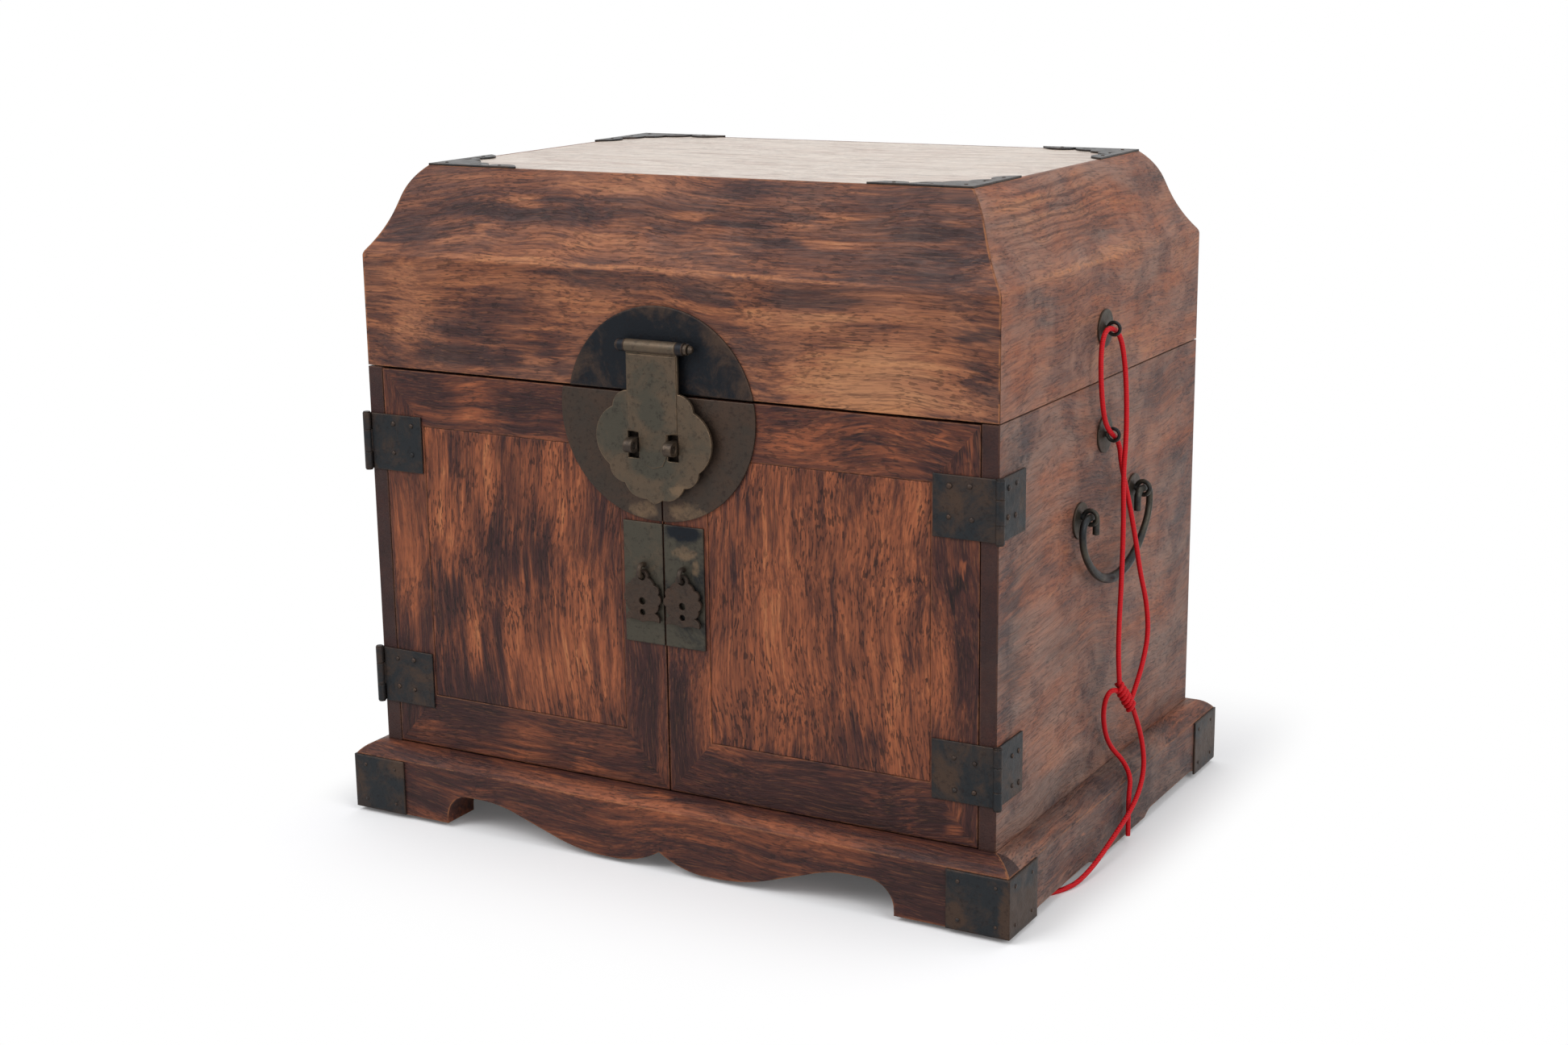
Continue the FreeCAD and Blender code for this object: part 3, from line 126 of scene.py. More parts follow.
def tint(name, text, hexed):
    """A colour property."""
    return FloatVectorProperty(name=name, description=text, subtype="COLOR", size=4, min=0, max=1,
                               default=linear(hexed))


class SealChestSizes(PropertyGroup):
    cord_width: measure("Cord width", "Diameter of the red cord", 0.0025, 0.001)
    knot_turns: IntProperty(
        name="Knot turns", description="Times that the cord is wound round in the knot", default=6,
        min=2)
    nail_radius: measure("Nail radius", "Radius of a nail's head", 0.0014, 0.0005)
    nail_rise: measure("Nail rise", "How far a nail's head stands up", 0.0008, 0.0002)
    worn_edge: measure("Worn edge", "Radius to which the boards' edges are worn", 0.0012, 0)


class SealChestColours(PropertyGroup):
    soot: tint("Soot", "Darkest dirt in the wood", "160e0f")
    stain: tint("Stain", "Old dark finish on the wood", "351e1d")
    brown: tint("Brown", "Wood where the finish is half gone", "552f23")
    bare: tint("Bare wood", "Wood where the finish is worn off", "884c31")
    pale: tint("Pale wood", "Lightest streaks of the bare wood", "b1744b")
    # The grey sheen and the slate blotches in it are painted sheen: the grey veil that the sides
    # reflect from the white room at a glancing angle.
    grey_sheen: tint("Dust", "Warm grey film on the sides", "7c675d")
    slate: tint("Slate", "Cold grey blotches in that film", "4f4746")
    # The top sheen is a painted reflection: the pale haze that the lid's waxed top reflects,
    # painted into its colour.
    top_sheen: tint("Bleached wood", "Sun-bleached wood of the lid's top", "c3b6a9")
    straw: tint("Straw", "Sun-faded wood of the lid's front", "a87b54")
    iron: tint("Dark metal", "Blackened hinges, mounts and handles", "24272a")
    rust: tint("Brown metal", "Brown patina on the dark metal", "43342b")
    steel: tint("Blue-black metal", "Middle of the round lock plate", "14181e")
    umber: tint("Purple-brown metal", "Lower halves of the lock plate", "39312b")
    brass: tint("Worn brass", "Hasp", "57493b")
    verdigris: tint("Green brass", "Pull plates and the hasp's middle", "444037")
    tan: tint("Rubbed brass", "Bright rubbed patches on the plates", "76604a")
    cord: tint("Cord red", "Red of the cord", "c40716")
    cord_shade: tint("Cord shade", "Grooves of the cord's braid", "860610")
    cord_fluff: tint("Cord fluff", "Light fibres that stand off the cord", "dd2630")
    pad: tint("Foot pad", "Clear plastic of the foot pads", "c9c6ba")
    pad_aged: tint("Aged foot pad", "The same plastic where it has yellowed", "a59d88")


def sizes():
    """The chest's sizes in the sidebar."""
    return bpy.context.scene.seal_chest_sizes


def colours():
    """The chest's colours in the sidebar."""
    return bpy.context.scene.seal_chest_colours


# Shader nodes

FACES = {"front": (0, 2), "side": (1, 2), "top": (0, 1)}  # the two axes that lie in each face
MIDDLE = (0.5, 0.5, 0.5)  # mean of a noise of vectors


class Nodes:
    """A shader's nodes while they are put together."""

    def __init__(self, tree):
        self.tree = tree
        self.tree.nodes.clear()

    def node(self, kind, inputs=(), **options):
        """A node with its options, and its inputs linked or given a value."""
        made = self.tree.nodes.new("ShaderNode" + kind)
        for option, value in options.items():
            setattr(made, option, value)
        for socket, value in dict(inputs).items():
            if isinstance(value, bpy.types.NodeSocket):
                self.tree.links.new(value, made.inputs[socket])
            else:
                made.inputs[socket].default_value = value
        return made

    def sum(self, operation, *values):
        """A sum on numbers."""
        return self.node("Math", dict(enumerate(values)), operation=operation).outputs[0]

    def times(self, first, second):
        """Two numbers multiplied."""
        return self.sum("MULTIPLY", first, second)

    def vector(self, operation, *values):
        """A sum on vectors."""
        return self.node("VectorMath", dict(enumerate(values)), operation=operation).outputs[0]

    def scaled(self, vector, share):
        """A vector times a number."""
        return self.node("VectorMath", {0: vector, "Scale": share}, operation="SCALE").outputs[0]

    def length(self, vector):
        """How long a vector is."""
        return self.node("VectorMath", {0: vector}, operation="LENGTH").outputs["Value"]

    def step(self, value, low, high):
        """0 below low, 1 above high, smooth between."""
        return self.node("MapRange", {"Value": value, "From Min": low, "From Max": high},
                         interpolation_type="SMOOTHSTEP").outputs["Result"]

    def mix(self, share, first, second):
        """A share of the second colour over the first."""
        return self.node("Mix", {0: share, 6: first, 7: second}, data_type="RGBA").outputs[2]

    def place(self, shift=(0, 0, 0), scale=(1, 1, 1), source=None):
        """Object coordinates, which are the frame's own metres."""
        source = source or self.node("TexCoord").outputs["Object"]
        return self.node("Mapping", {"Vector": source, "Location": shift,
                                     "Scale": scale}).outputs[0]

    def noise(self, place, scale, detail=3, rough=0.5, distortion=0.0):
        """A noise of numbers, about 0.5."""
        return self.node("TexNoise", {"Vector": place, "Scale": scale, "Detail": detail,
                                      "Roughness": rough, "Distortion": distortion}).outputs["Fac"]

    def drift(self, place, scale, detail):
        """A noise of vectors, about 0.5 each way."""
        return self.node("TexNoise", {"Vector": place, "Scale": scale,
                                      "Detail": detail}).outputs["Color"]

    def parts(self, vector):
        """The three numbers of a vector."""
        return self.node("SeparateXYZ", {0: vector}).outputs

    def seen(self):
        """1 for rays from the eye, straight, off a gloss or through something clear."""
        rays = self.node("LightPath").outputs
        bent = self.sum("MAXIMUM", rays["Is Glossy Ray"], rays["Is Transmission Ray"])
        return self.sum("MAXIMUM", rays["Is Camera Ray"], bent)

    def end(self, output, shader):
        """Joins the shader to the tree's output."""
        out = self.node("Output" + output)
        self.tree.links.new(shader.outputs[0], out.inputs["Surface"])


class Finish(Nodes):
    """A material while its nodes are put together."""

    def __init__(self, name):
        self.material = bpy.data.materials.new(name)
        self.material.use_nodes = True
        super().__init__(self.material.node_tree)

    def flat(self, place, face):
        """The two coordinates that lie in a face, in millimetres."""
        parts = self.parts(place)
        first, second = (self.times(parts[axis], 1 / MM) for axis in FACES[face])
        return self.node("CombineXYZ", {0: first, 1: second}).outputs[0]

    def spot(self, flat, across, up, reach_across, reach_up):
        """1 in the middle of an oval patch on a face, 0 beyond its reach."""
        away = self.vector("SUBTRACT", flat, (across, up, 0))
        share = self.vector("DIVIDE", away, (reach_across, reach_up, 1))
        return self.step(self.length(share), 1.0, 0.3)

    def edge(self, radius):
        """The normal with its edges rounded off, and a mask that is 1 on those edges."""
        rounded = self.node("Bevel", {"Radius": radius}, samples=6).outputs[0]
        plain = self.node("NewGeometry").outputs["Normal"]
        turned = self.node("VectorMath", {0: rounded, 1: plain}, operation="DOT_PRODUCT")
        return rounded, self.step(turned.outputs["Value"], 0.998, 0.95)

    def bump(self, height, strength, distance, normal=None):
        """The normal, tilted by a height."""
        inputs = {"Strength": strength, "Distance": distance, "Height": height}
        if normal is not None:
            inputs["Normal"] = normal
        return self.node("Bump", inputs).outputs[0]

    def finish(self, inputs):
        """The material, with the inputs of its surface."""
        self.end("Material", self.node("BsdfPrincipled", inputs))
        return self.material


# Wood

TONES = (("soot", 0.02), ("stain", 0.33), ("brown", 0.46), ("bare", 0.66), ("pale", 0.98))
# Patches of wear: the noise's scale, its squeeze along the grain, its roughness and its weight.
WEAR = ((17, 0.4, 0.6, 0.45), (80, 0.09, 0.65, 0.6), (340, 0.05, 0.7, 0.9))
SPOT_GAIN = 0.7
TEAR_ALONG, TEAR_ACROSS = 60, 9  # how far a spot's outline is torn by the grain, in millimetres
RAG = 1.6  # the same for drops, cracks and the shoulder's line


class Wood(Finish):
    """A board's finish while it is put together."""

    def __init__(self, name, grain, seed, face, panel):
        super().__init__(name)
        self.grain = grain
        self.plain = self.place()
        self.on_face = self.flat(self.plain, face)
        self.shifted = self.place(shift=(seed * 1.7, seed * 0.9, seed * 2.3), source=self.plain)
        sway = self.vector("SUBTRACT", self.drift(self.shifted, 7, 2), MIDDLE)
        self.swayed = self.vector("ADD", self.shifted, self.scaled(sway, 0.035))
        self.rail = self.rail_mask(panel) if panel else None
        lengthwise = FACES[face].index("xyz".index(grain)) == 0
        tear = (TEAR_ALONG, TEAR_ACROSS, 0) if lengthwise else (TEAR_ACROSS, TEAR_ALONG, 0)
        torn = self.vector("SUBTRACT", self.drift(self.along(0.12), 230, 3), MIDDLE)
        self.torn = self.vector("ADD", self.on_face, self.vector("MULTIPLY", torn, tear))
        ragged = self.scaled(self.drift(self.shifted, 260, 2), RAG)
        self.ragged = self.vector("ADD", self.on_face, ragged)

    def rail_mask(self, panel):
        """1 on the boards above and below a door's panel, up to their mitres."""
        low, high = panel
        parts = self.parts(self.plain)
        beyond = []
        for axis, board in ((0, STILE * MM), (2, RAIL * MM)):
            middle, half = (low[axis] + high[axis]) / 2, (high[axis] - low[axis]) / 2
            away = self.sum("ABSOLUTE", self.sum("SUBTRACT", parts[axis], middle))
            beyond.append(self.sum("DIVIDE", self.sum("SUBTRACT", away, half), board))
        return self.sum("GREATER_THAN", beyond[1], beyond[0])

    def along(self, share):
        """The place squeezed along the grain, so that a noise on it draws out into streaks."""
        squeeze = [share if axis == self.grain else 1 for axis in "xyz"]
        along = self.place(scale=squeeze, source=self.swayed)
        if self.rail is None:
            return along
        across = self.place(scale=(share, 1, 1), source=self.swayed)
        return self.node("Mix", {0: self.rail, 4: along, 5: across},
                         data_type="VECTOR").outputs[1]

    def tone(self, worn, contrast, spots):
        """How far the finish is worn off, from soot at 0 to pale wood at 1."""
        tone = worn
        for scale, squeeze, rough, weight in WEAR:
            layer = self.noise(self.along(squeeze), scale, 4, rough, 0.4)
            tone = self.sum("MULTIPLY_ADD", self.sum("SUBTRACT", layer, 0.5), weight * contrast,
                            tone)
        for *oval, gain in spots:
            tone = self.sum("MULTIPLY_ADD", self.spot(self.torn, *oval), SPOT_GAIN * gain, tone)
        return tone

    def colour(self, tone):
        """The wood's colours from its darkest to its palest."""
        node = self.node("ValToRGB", {"Fac": tone})
        ramp = node.color_ramp
        while len(ramp.elements) < len(TONES):
            ramp.elements.new(0.5)
        for stop, (name, place) in zip(ramp.elements, TONES):
            stop.position = place
            stop.color = getattr(colours(), name)
        return node.outputs["Color"]

    def painted_sheen(self, base, tone, haze, sheen):
        """Painted sheen: a grey veil on the sides, or a pale one on the lid's top, painted into
        the colour for the white room that they reflect at a glancing angle.
        """
        cold = self.step(self.noise(self.shifted, 30, 4, 0.6), 0.46, 0.6)
        grey = getattr(colours(), haze)
        if haze == "grey_sheen":
            grey = self.mix(cold, grey, colours().slate)
            cover = self.step(self.noise(self.along(0.3), 50, 5, 0.65), 0.2, 0.7)
        else:
            # The pale painted reflection lies only on the lid's top face.
            on_top = self.step(self.parts(self.plain)[2], (TOP - 1.5) * MM, (TOP - 0.5) * MM)
            cover = self.step(self.noise(self.along(0.12), 120, 5, 0.7), 0.1, 0.6)
            cover = self.times(cover, on_top)
        cover = self.times(cover, self.step(tone, 0.05, 0.35))
        return self.mix(self.times(cover, sheen), base, grey)

    def swirled(self, base, swirl):
        """Dark rings of the grain within an oval."""
        rings = self.node("TexWave", {
            "Vector": self.place(scale=(1, 0.35, 1), source=self.shifted), "Scale": 75,
            "Distortion": 7.0, "Detail": 2, "Detail Scale": 0.35, "Detail Roughness": 0.6,
        }, bands_direction="Z").outputs["Fac"]
        share = self.times(self.step(rings, 0.62, 0.95), self.spot(self.on_face, *swirl))
        return self.mix(self.times(share, 0.55), base, colours().stain)

    def darker_front_end(self, base):
        """Darker colour on the front end of a side, where the doors close on it."""
        end = self.step(self.parts(self.on_face)[0], CASE_FRONT + 0.7, CASE_FRONT)
        dark_blend = self.mix(self.noise(self.shifted, 90, 4, 0.6), colours().soot, colours().stain)
        return self.mix(self.times(end, 0.9), base, dark_blend)

    def ragged_spot(self, oval):
        """A small spot with a ragged outline."""
        across, up, *reach = oval
        return self.spot(self.ragged, across + RAG / 2, up + RAG / 2, *reach)


def wood(name, grain, seed, face="front", worn=0.5, contrast=1.0, pores=0.5, spots=(), drops=(),
         cracks=(), panel=None, sheen=0.0, haze="grey_sheen", straw=0.0, swirl=None, ridge=None,
         streaks=0.4, shine=0.18, rough=0.5, edge=0.5):
    """Old stained wood, worn to bare wood in patches that run with the grain.

    worn is the tone between soot at 0 and pale wood at 1.  A spot is a middle and a reach on the
    face, in millimetres, and what it adds to the tone.  Drops and cracks are spots of soot, swirl
    and ridge are ovals of rings and of bare wood, without what they add.  panel is the box of a
    door's panel: the boards above and below it run across.  pores, sheen, straw, streaks and edge
    are shares of soot in the pores, painted grey sheen (a painted reflection), faded wood, dark
    streaks and bare edges.
    """
    made = Wood(name, grain, seed, face, panel)
    tone = made.tone(worn, contrast, spots)
    base = made.colour(tone)
    if straw:
        faded = made.times(made.step(tone, 0.4, 0.85), straw)
        base = made.mix(faded, base, colours().straw)
    # Painted sheen: a grey veil, or a pale one on the lid's top, for the white room that the wood
    # reflects.
    if sheen:
        base = made.painted_sheen(base, tone, haze, sheen)
    if swirl:
        base = made.swirled(base, swirl)

    fibre = made.noise(made.along(0.05), 1300, 3, 0.65)
    lines = made.step(made.noise(made.along(0.03), 1100, 3, 0.65), 0.48, 0.66)
    base = made.mix(made.times(lines, streaks), base, colours().stain)
    base = made.mix(made.times(made.step(fibre, 0.5, 0.72), 0.14), base, colours().pale)
    dash = made.step(made.noise(made.along(0.2), 1100, 2, 0.4), 0.53, 0.6)
    patch = made.step(made.noise(made.shifted, 60, 4, 0.6), 0.42, 0.58)
    dash = made.times(dash, made.sum("MULTIPLY_ADD", patch, 0.6, 0.4))
    base = made.mix(made.times(dash, pores), base, colours().soot)
    if face == "side":
        base = made.darker_front_end(base)

    rounded, sharp = made.edge(sizes().worn_edge)
    rubbed = made.step(made.noise(made.shifted, 110, 4, 0.65), 0.36, 0.56)
    base = made.mix(made.times(made.times(sharp, rubbed), edge), base, colours().pale)
    height = made.sum("MULTIPLY_ADD", fibre, 0.35, made.times(lines, -0.3))
    height = made.sum("SUBTRACT", height, made.times(dash, 0.5))
    if ridge:
        line = made.times(made.ragged_spot(ridge), made.sum("MULTIPLY_ADD", rubbed, 0.7, 0.2))
        base = made.mix(line, base, colours().pale)
    for oval in drops + cracks:
        hole = made.step(made.ragged_spot(oval), 0.1, 0.5)
        base = made.mix(made.times(hole, 0.85), base, colours().soot)
        if oval in cracks:
            height = made.sum("SUBTRACT", height, hole)

    gloss = made.sum("MULTIPLY_ADD", made.noise(made.shifted, 90, 3, 0.6), 0.2, rough - 0.1)
    return made.finish({"Base Color": base, "Roughness": gloss, "Specular IOR Level": shine,
                        "Normal": made.bump(height, 0.45, 0.0006, rounded)})


# Metal, cord and pads


def metal(name, main, second, seed, face="front", patches=0.5, spots=(), rubbed=(), rough=0.5,
          rim="rust", rim_share=0.7, radius=0.0008, relief=0.35):
    """Old sheet metal with a blotched patina, small pits and rubbed edges.

    A spot is an oval on the face that adds to the second colour, and rubbed are ovals of bright
    mottling.
    """
    made = Finish(name)
    plain = made.place()
    flat = made.flat(plain, face)
    place = made.place(shift=(seed, seed * 1.3, seed * 0.7), source=plain)
    cloud = made.noise(place, 55, 6, 0.7, 0.5)
    for *oval, gain in spots:
        cloud = made.sum("MULTIPLY_ADD", made.spot(flat, *oval), gain, cloud)
    speck = made.noise(place, 420, 4, 0.7)
    pits = made.noise(place, 900, 3, 0.6)
    base = made.mix(made.step(cloud, patches - 0.14, patches + 0.16), getattr(colours(), main),
                    getattr(colours(), second))
    mottle = made.noise(place, 150, 5, 0.7)
    for oval in rubbed:
        bright = made.sum("MULTIPLY_ADD", made.spot(flat, *oval), 0.4, mottle)
        base = made.mix(made.times(made.step(bright, 0.66, 1.0), 0.65), base, colours().tan)
    rounded, sharp = made.edge(radius)
    worn = made.times(sharp, made.step(made.noise(place, 130, 4, 0.7), 0.35, 0.6))
    base = made.mix(made.times(worn, rim_share), base, getattr(colours(), rim))
    base = made.mix(made.times(made.step(speck, 0.5, 0.7), 0.45), base, colours().soot)
    height = made.sum("MULTIPLY_ADD", pits, 0.4, made.sum("MULTIPLY_ADD", cloud, 0.8, speck))
    gloss = made.sum("MULTIPLY_ADD", mottle, 0.35, rough - 0.17)
    return made.finish({"Base Color": base, "Metallic": 0.75, "Roughness": gloss,
                        "Normal": made.bump(height, relief, 0.0005, rounded)})


def braid(name):
    """The cord's tight red braid."""
    made = Finish(name)
    place = made.place()
    ribs = made.node("TexWave", {"Vector": place, "Scale": 520, "Distortion": 1.5, "Detail": 1},
                     wave_type="BANDS", bands_direction="Z").outputs["Fac"]
    base = made.mix(made.step(ribs, 0.0, 0.5), colours().cord_shade, colours().cord)
    fluff = made.step(made.noise(place, 1500, 2, 0.6), 0.6, 0.9)
    base = made.mix(fluff, base, colours().cord_fluff)
    return made.finish({"Base Color": base, "Roughness": 0.55, "Specular IOR Level": 0.2,
                        "Normal": made.bump(ribs, 0.4, 0.0003)})


def clear_pad(name):
    """Clear soft plastic, a little yellowed."""
    made = Finish(name)
    cloud = made.noise(made.place(), 260, 4, 0.6)
    base = made.mix(made.step(cloud, 0.35, 0.7), colours().pad, colours().pad_aged)
    gloss = made.sum("MULTIPLY_ADD", cloud, 0.3, 0.1)
    return made.finish({"Base Color": base, "Roughness": gloss, "Transmission Weight": 0.55,
                        "IOR": 1.45})


def dress(node, material):
    """Gives a CAD node its material."""
    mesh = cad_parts[node].data
    mesh.materials.clear()
    mesh.materials.append(material)


# Meshes

NAIL_SINK = 0.0002  # how far the rim of a nail's head is sunk, in metres


def new_piece(name, mesh, body, material):
    """An object of the scene that rides on a body, if it is given one."""
    piece = bpy.data.objects.new(name, mesh)
    bpy.context.scene.collection.objects.link(piece)
    piece.data.materials.append(material)
    if body:
        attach(piece, body)
    return piece


def shaded(mesh, smooth=True):
    """The mesh with its faces set smooth or flat."""
    for polygon in mesh.polygons:
        polygon.use_smooth = smooth
    return mesh


def mesh_from(name, bm, smooth=True):
    """A mesh of what was built, which is then put away."""
    mesh = bpy.data.meshes.new(name)
    bm.to_mesh(mesh)
    bm.free()
    return shaded(mesh, smooth)


def route_curve(name, points, width):
    """A NURBS route, with a round section if it has a width."""
    curve = bpy.data.curves.new(name, "CURVE")
    curve.dimensions = "3D"
    curve.resolution_u = 24
    spline = curve.splines.new("NURBS")
    spline.points.add(len(points) - 1)
    for point, place in zip(spline.points, points):
        point.co = (*place, 1)
    spline.order_u = 3
    spline.use_endpoint_u = True
    curve.bevel_depth = width / 2
    curve.bevel_resolution = 4
    curve.use_fill_caps = width > 0
    return curve


def route_mesh(name, points, width=0.0):
    """The mesh of a route: a tube, or a bare line if it has no width."""
    curve = route_curve(name + "_route", points, width)
    holder = bpy.data.objects.new(name + "_route", curve)
    bpy.context.scene.collection.objects.link(holder)
    mesh = bpy.data.meshes.new_from_object(holder)
    bpy.data.objects.remove(holder)
    bpy.data.curves.remove(curve)
    mesh.name = name
    return shaded(mesh)


def line_of(name, points):
    """The points of a route's own smooth line."""
    mesh = route_mesh(name + "_line", points)
    line = [vertex.co.copy() for vertex in mesh.vertices]
    bpy.data.meshes.remove(mesh)
    return line


def cord_tube(name, points, material):
    """A length of cord along a route."""
    mesh = route_mesh(name, points, sizes().cord_width)
    return new_piece(name, mesh, None, material)


def skin(bm, rows):
    """Faces from each row of points round to the next, which may be a single point."""
    for lower, upper in zip(rows, rows[1:]):
        for k in range(len(lower)):
            after = (k + 1) % len(lower)
            above = (upper[0],) if len(upper) == 1 else (upper[after], upper[k])
            bm.faces.new((lower[k], lower[after], *above))


def dome(bm, place, out, radius, rise, rounds=3, around=12):
    """A nail's domed head on a surface that faces out."""
    turn = out.to_track_quat("Z", "Y").to_matrix().to_4x4()
    rows = []
    for ring in range(rounds):
        lean = math.radians(90) * ring / rounds
        reach, height = radius * math.cos(lean), rise * math.sin(lean)
        if ring == 0:
            height -= NAIL_SINK
        angles = [math.tau * k / around for k in range(around)]
        circle = [Vector((reach * math.cos(a), reach * math.sin(a), height)) for a in angles]
        rows.append([bm.verts.new(place + turn @ point) for point in circle])
    rows.append([bm.verts.new(place + turn @ Vector((0, 0, rise)))])
    skin(bm, rows)
    bm.faces.new(list(reversed(rows[0])))


def nails(name, places, body, material, chance, radius=None, rise=None):
    """One mesh of nail heads, each a little different.

    A place is a point in millimetres and the way that the surface faces there.
    """
    bm = bmesh.new()
    for point, out in places:
        head_radius = (radius or sizes().nail_radius) * chance.uniform(0.85, 1.1)
        head_rise = (rise or sizes().nail_rise) * chance.uniform(0.75, 1.15)
        dome(bm, Vector(point) * MM, out, head_radius, head_rise)
    return new_piece(name, mesh_from(name, bm), body, material)


# Spots on the doors, the lid, the apron and the right side, in millimetres on their face: across,
# up, how far they reach both ways, and what they add to the tone.
LEFT_DOOR = (
    (-155, 143, 15, 48, 0.3), (-128, 162, 14, 36, 0.3), (-103, 182, 11, 23, 0.26),
    (-63, 188, 28, 38, 0.28), (-43, 113, 22, 60, 0.2), (-91, 108, 6, 32, 0.26),
    (-65, 91, 21, 27, 0.2), (-117, 99, 7, 30, 0.28), (-109, 224, 17, 10, 0.24),
    (-84, 50, 20, 12, 0.18), (-48, 45, 15, 6, 0.26), (-133, 117, 16, 23, -0.3),
    (-125, 68, 32, 38, -0.26), (-104, 97, 12, 60, -0.14), (-88, 149, 31, 20, -0.2),
    (-13, 81, 12, 45, -0.26), (-143, 226, 26, 15, -0.16), (-75, 221, 27, 11, -0.18),
    (-162, 68, 19, 37, -0.22),
)
RIGHT_DOOR = (
    (83, 143, 84, 100, 0.16), (25, 87, 12, 32, 0.2), (145, 120, 10, 38, 0.22),
    (137, 197, 7, 21, 0.16), (86, 175, 11, 30, 0.1), (157, 171, 3, 6, 0.4),
    (76, 223, 27, 12, 0.22), (116, 224, 23, 6, 0.16), (145, 232, 10, 4, 0.24),
    (83, 44, 112, 30, -0.3), (113, 52, 11, 7, 0.24), (130, 47, 10, 6, 0.28), (154, 52, 7, 8, 0.24),
    (7, 74, 11, 35, -0.3), (106, 79, 19, 16, -0.24), (155, 161, 7, 11, -0.45),
    (160, 119, 9, 20, -0.2), (51, 187, 5, 7, -0.2), (39, 161, 5, 7, -0.2), (132, 127, 7, 5, -0.2),
    (150, 221, 19, 7, -0.22), (104, 229, 11, 4, -0.22),
)
LID_FRONT = (
    (-149, 267, 23, 27, 0.26), (-47, 278, 41, 15, 0.16), (-71, 249, 14, 4, 0.26),
    (-108, 259, 34, 6, -0.2), (-96, 270, 32, 7, -0.2), (-108, 247, 50, 8, -0.36),
    (-32, 291, 58, 6, -0.26), (-63, 252, 16, 15, -0.2), (80, 286, 35, 8, -0.2),
    (133, 284, 34, 9, 0.2), (78, 277, 56, 9, 0.32), (163, 277, 12, 5, -0.3),
    (112, 250, 56, 22, 0.42), (27, 287, 21, 6, -0.2), (47, 264, 12, 7, -0.2),
    (60, 249, 14, 13, -0.16), (164, 258, 10, 9, -0.26), (125, 268, 40, 9, 0.16),
    (158, 246, 18, 12, 0.14), (0, 296, 205, 2, 0.2), (-88, 323, 18, 5, 0.26),
    (-36, 333, 60, 6, 0.2), (-86, 318, 79, 6, -0.26), (-108, 309, 12, 3, 0.18),
    (-39, 307, 64, 9, 0.16), (-150, 304, 24, 9, -0.28), (-12, 313, 9, 2, 0.28),
    (14, 321, 17, 4, 0.26), (40, 317, 34, 3, -0.26), (64, 310, 28, 3, -0.22),
    (66, 318, 20, 2, 0.26), (92, 322, 12, 3, 0.2), (84, 312, 21, 3, 0.24), (29, 306, 11, 4, 0.22),
    (140, 318, 36, 4, -0.26), (150, 309, 28, 4, -0.26), (144, 322, 20, 3, 0.16),
    (124, 331, 35, 8, -0.12), (125, 303, 55, 9, -0.22), (43, 333, 18, 5, -0.16),
)
APRON = (
    (-40, 34, 100, 6, 0.22), (70, 30, 70, 9, 0.16), (-150, 20, 40, 20, -0.2),
    (150, 20, 60, 22, -0.2), (0, 12, 60, 12, -0.14), (0, 38, 190, 3, -0.16),
)
SIDE = (
    (-109, 222, 23, 17, -0.2), (-111, 133, 14, 70, -0.22), (-55, 48, 90, 14, -0.3),
    (-65, 190, 32, 30, 0.14), (-53, 140, 58, 28, 0.14), (-47, 115, 33, 15, -0.16),
    (59, 109, 83, 35, 0.1), (93, 177, 38, 19, -0.16), (105, 132, 29, 39, -0.12),
    (-57, 88, 60, 30, 0.16), (-49, 62, 30, 14, 0.2), (-16, 86, 22, 12, -0.16),
    (98, 67, 45, 31, -0.1), (51, 201, 59, 19, 0.12),
)
LID_SIDE = (
    (-78, 288, 62, 9, -0.16), (-73, 276, 18, 8, -0.2), (-20, 270, 38, 13, 0.1),
    (45, 270, 33, 10, -0.12), (32, 244, 86, 20, 0.1), (-59, 328, 48, 4, 0.2),
    (-63, 320, 55, 3, 0.2), (-34, 323, 19, 3, -0.22), (10, 309, 46, 8, -0.2),
    (0, 297, 120, 4, 0.28), (92, 324, 32, 9, -0.16),
)
# Drops and cracks of soot: the same without what they add.
DROPS = (
    (138, 146, 1.3, 2.4), (143, 135, 1.2, 3), (133, 110, 2, 3.4), (147, 100, 1.4, 4),
    (142, 91, 2, 4.4), (140, 82, 2.4, 3.6), (136, 94, 1.6, 2), (124, 85, 2, 2.4),
    (140, 116, 1.2, 2.6), (132, 102, 1.2, 1.8), (153, 108, 1.4, 2), (130, 118, 1, 1.8),
    (126, 98, 1, 2), (148, 126, 1, 3),
)
LID_CRACKS = ((-22, 298.4, 26, 0.5), (114, 298.2, 23, 0.5))
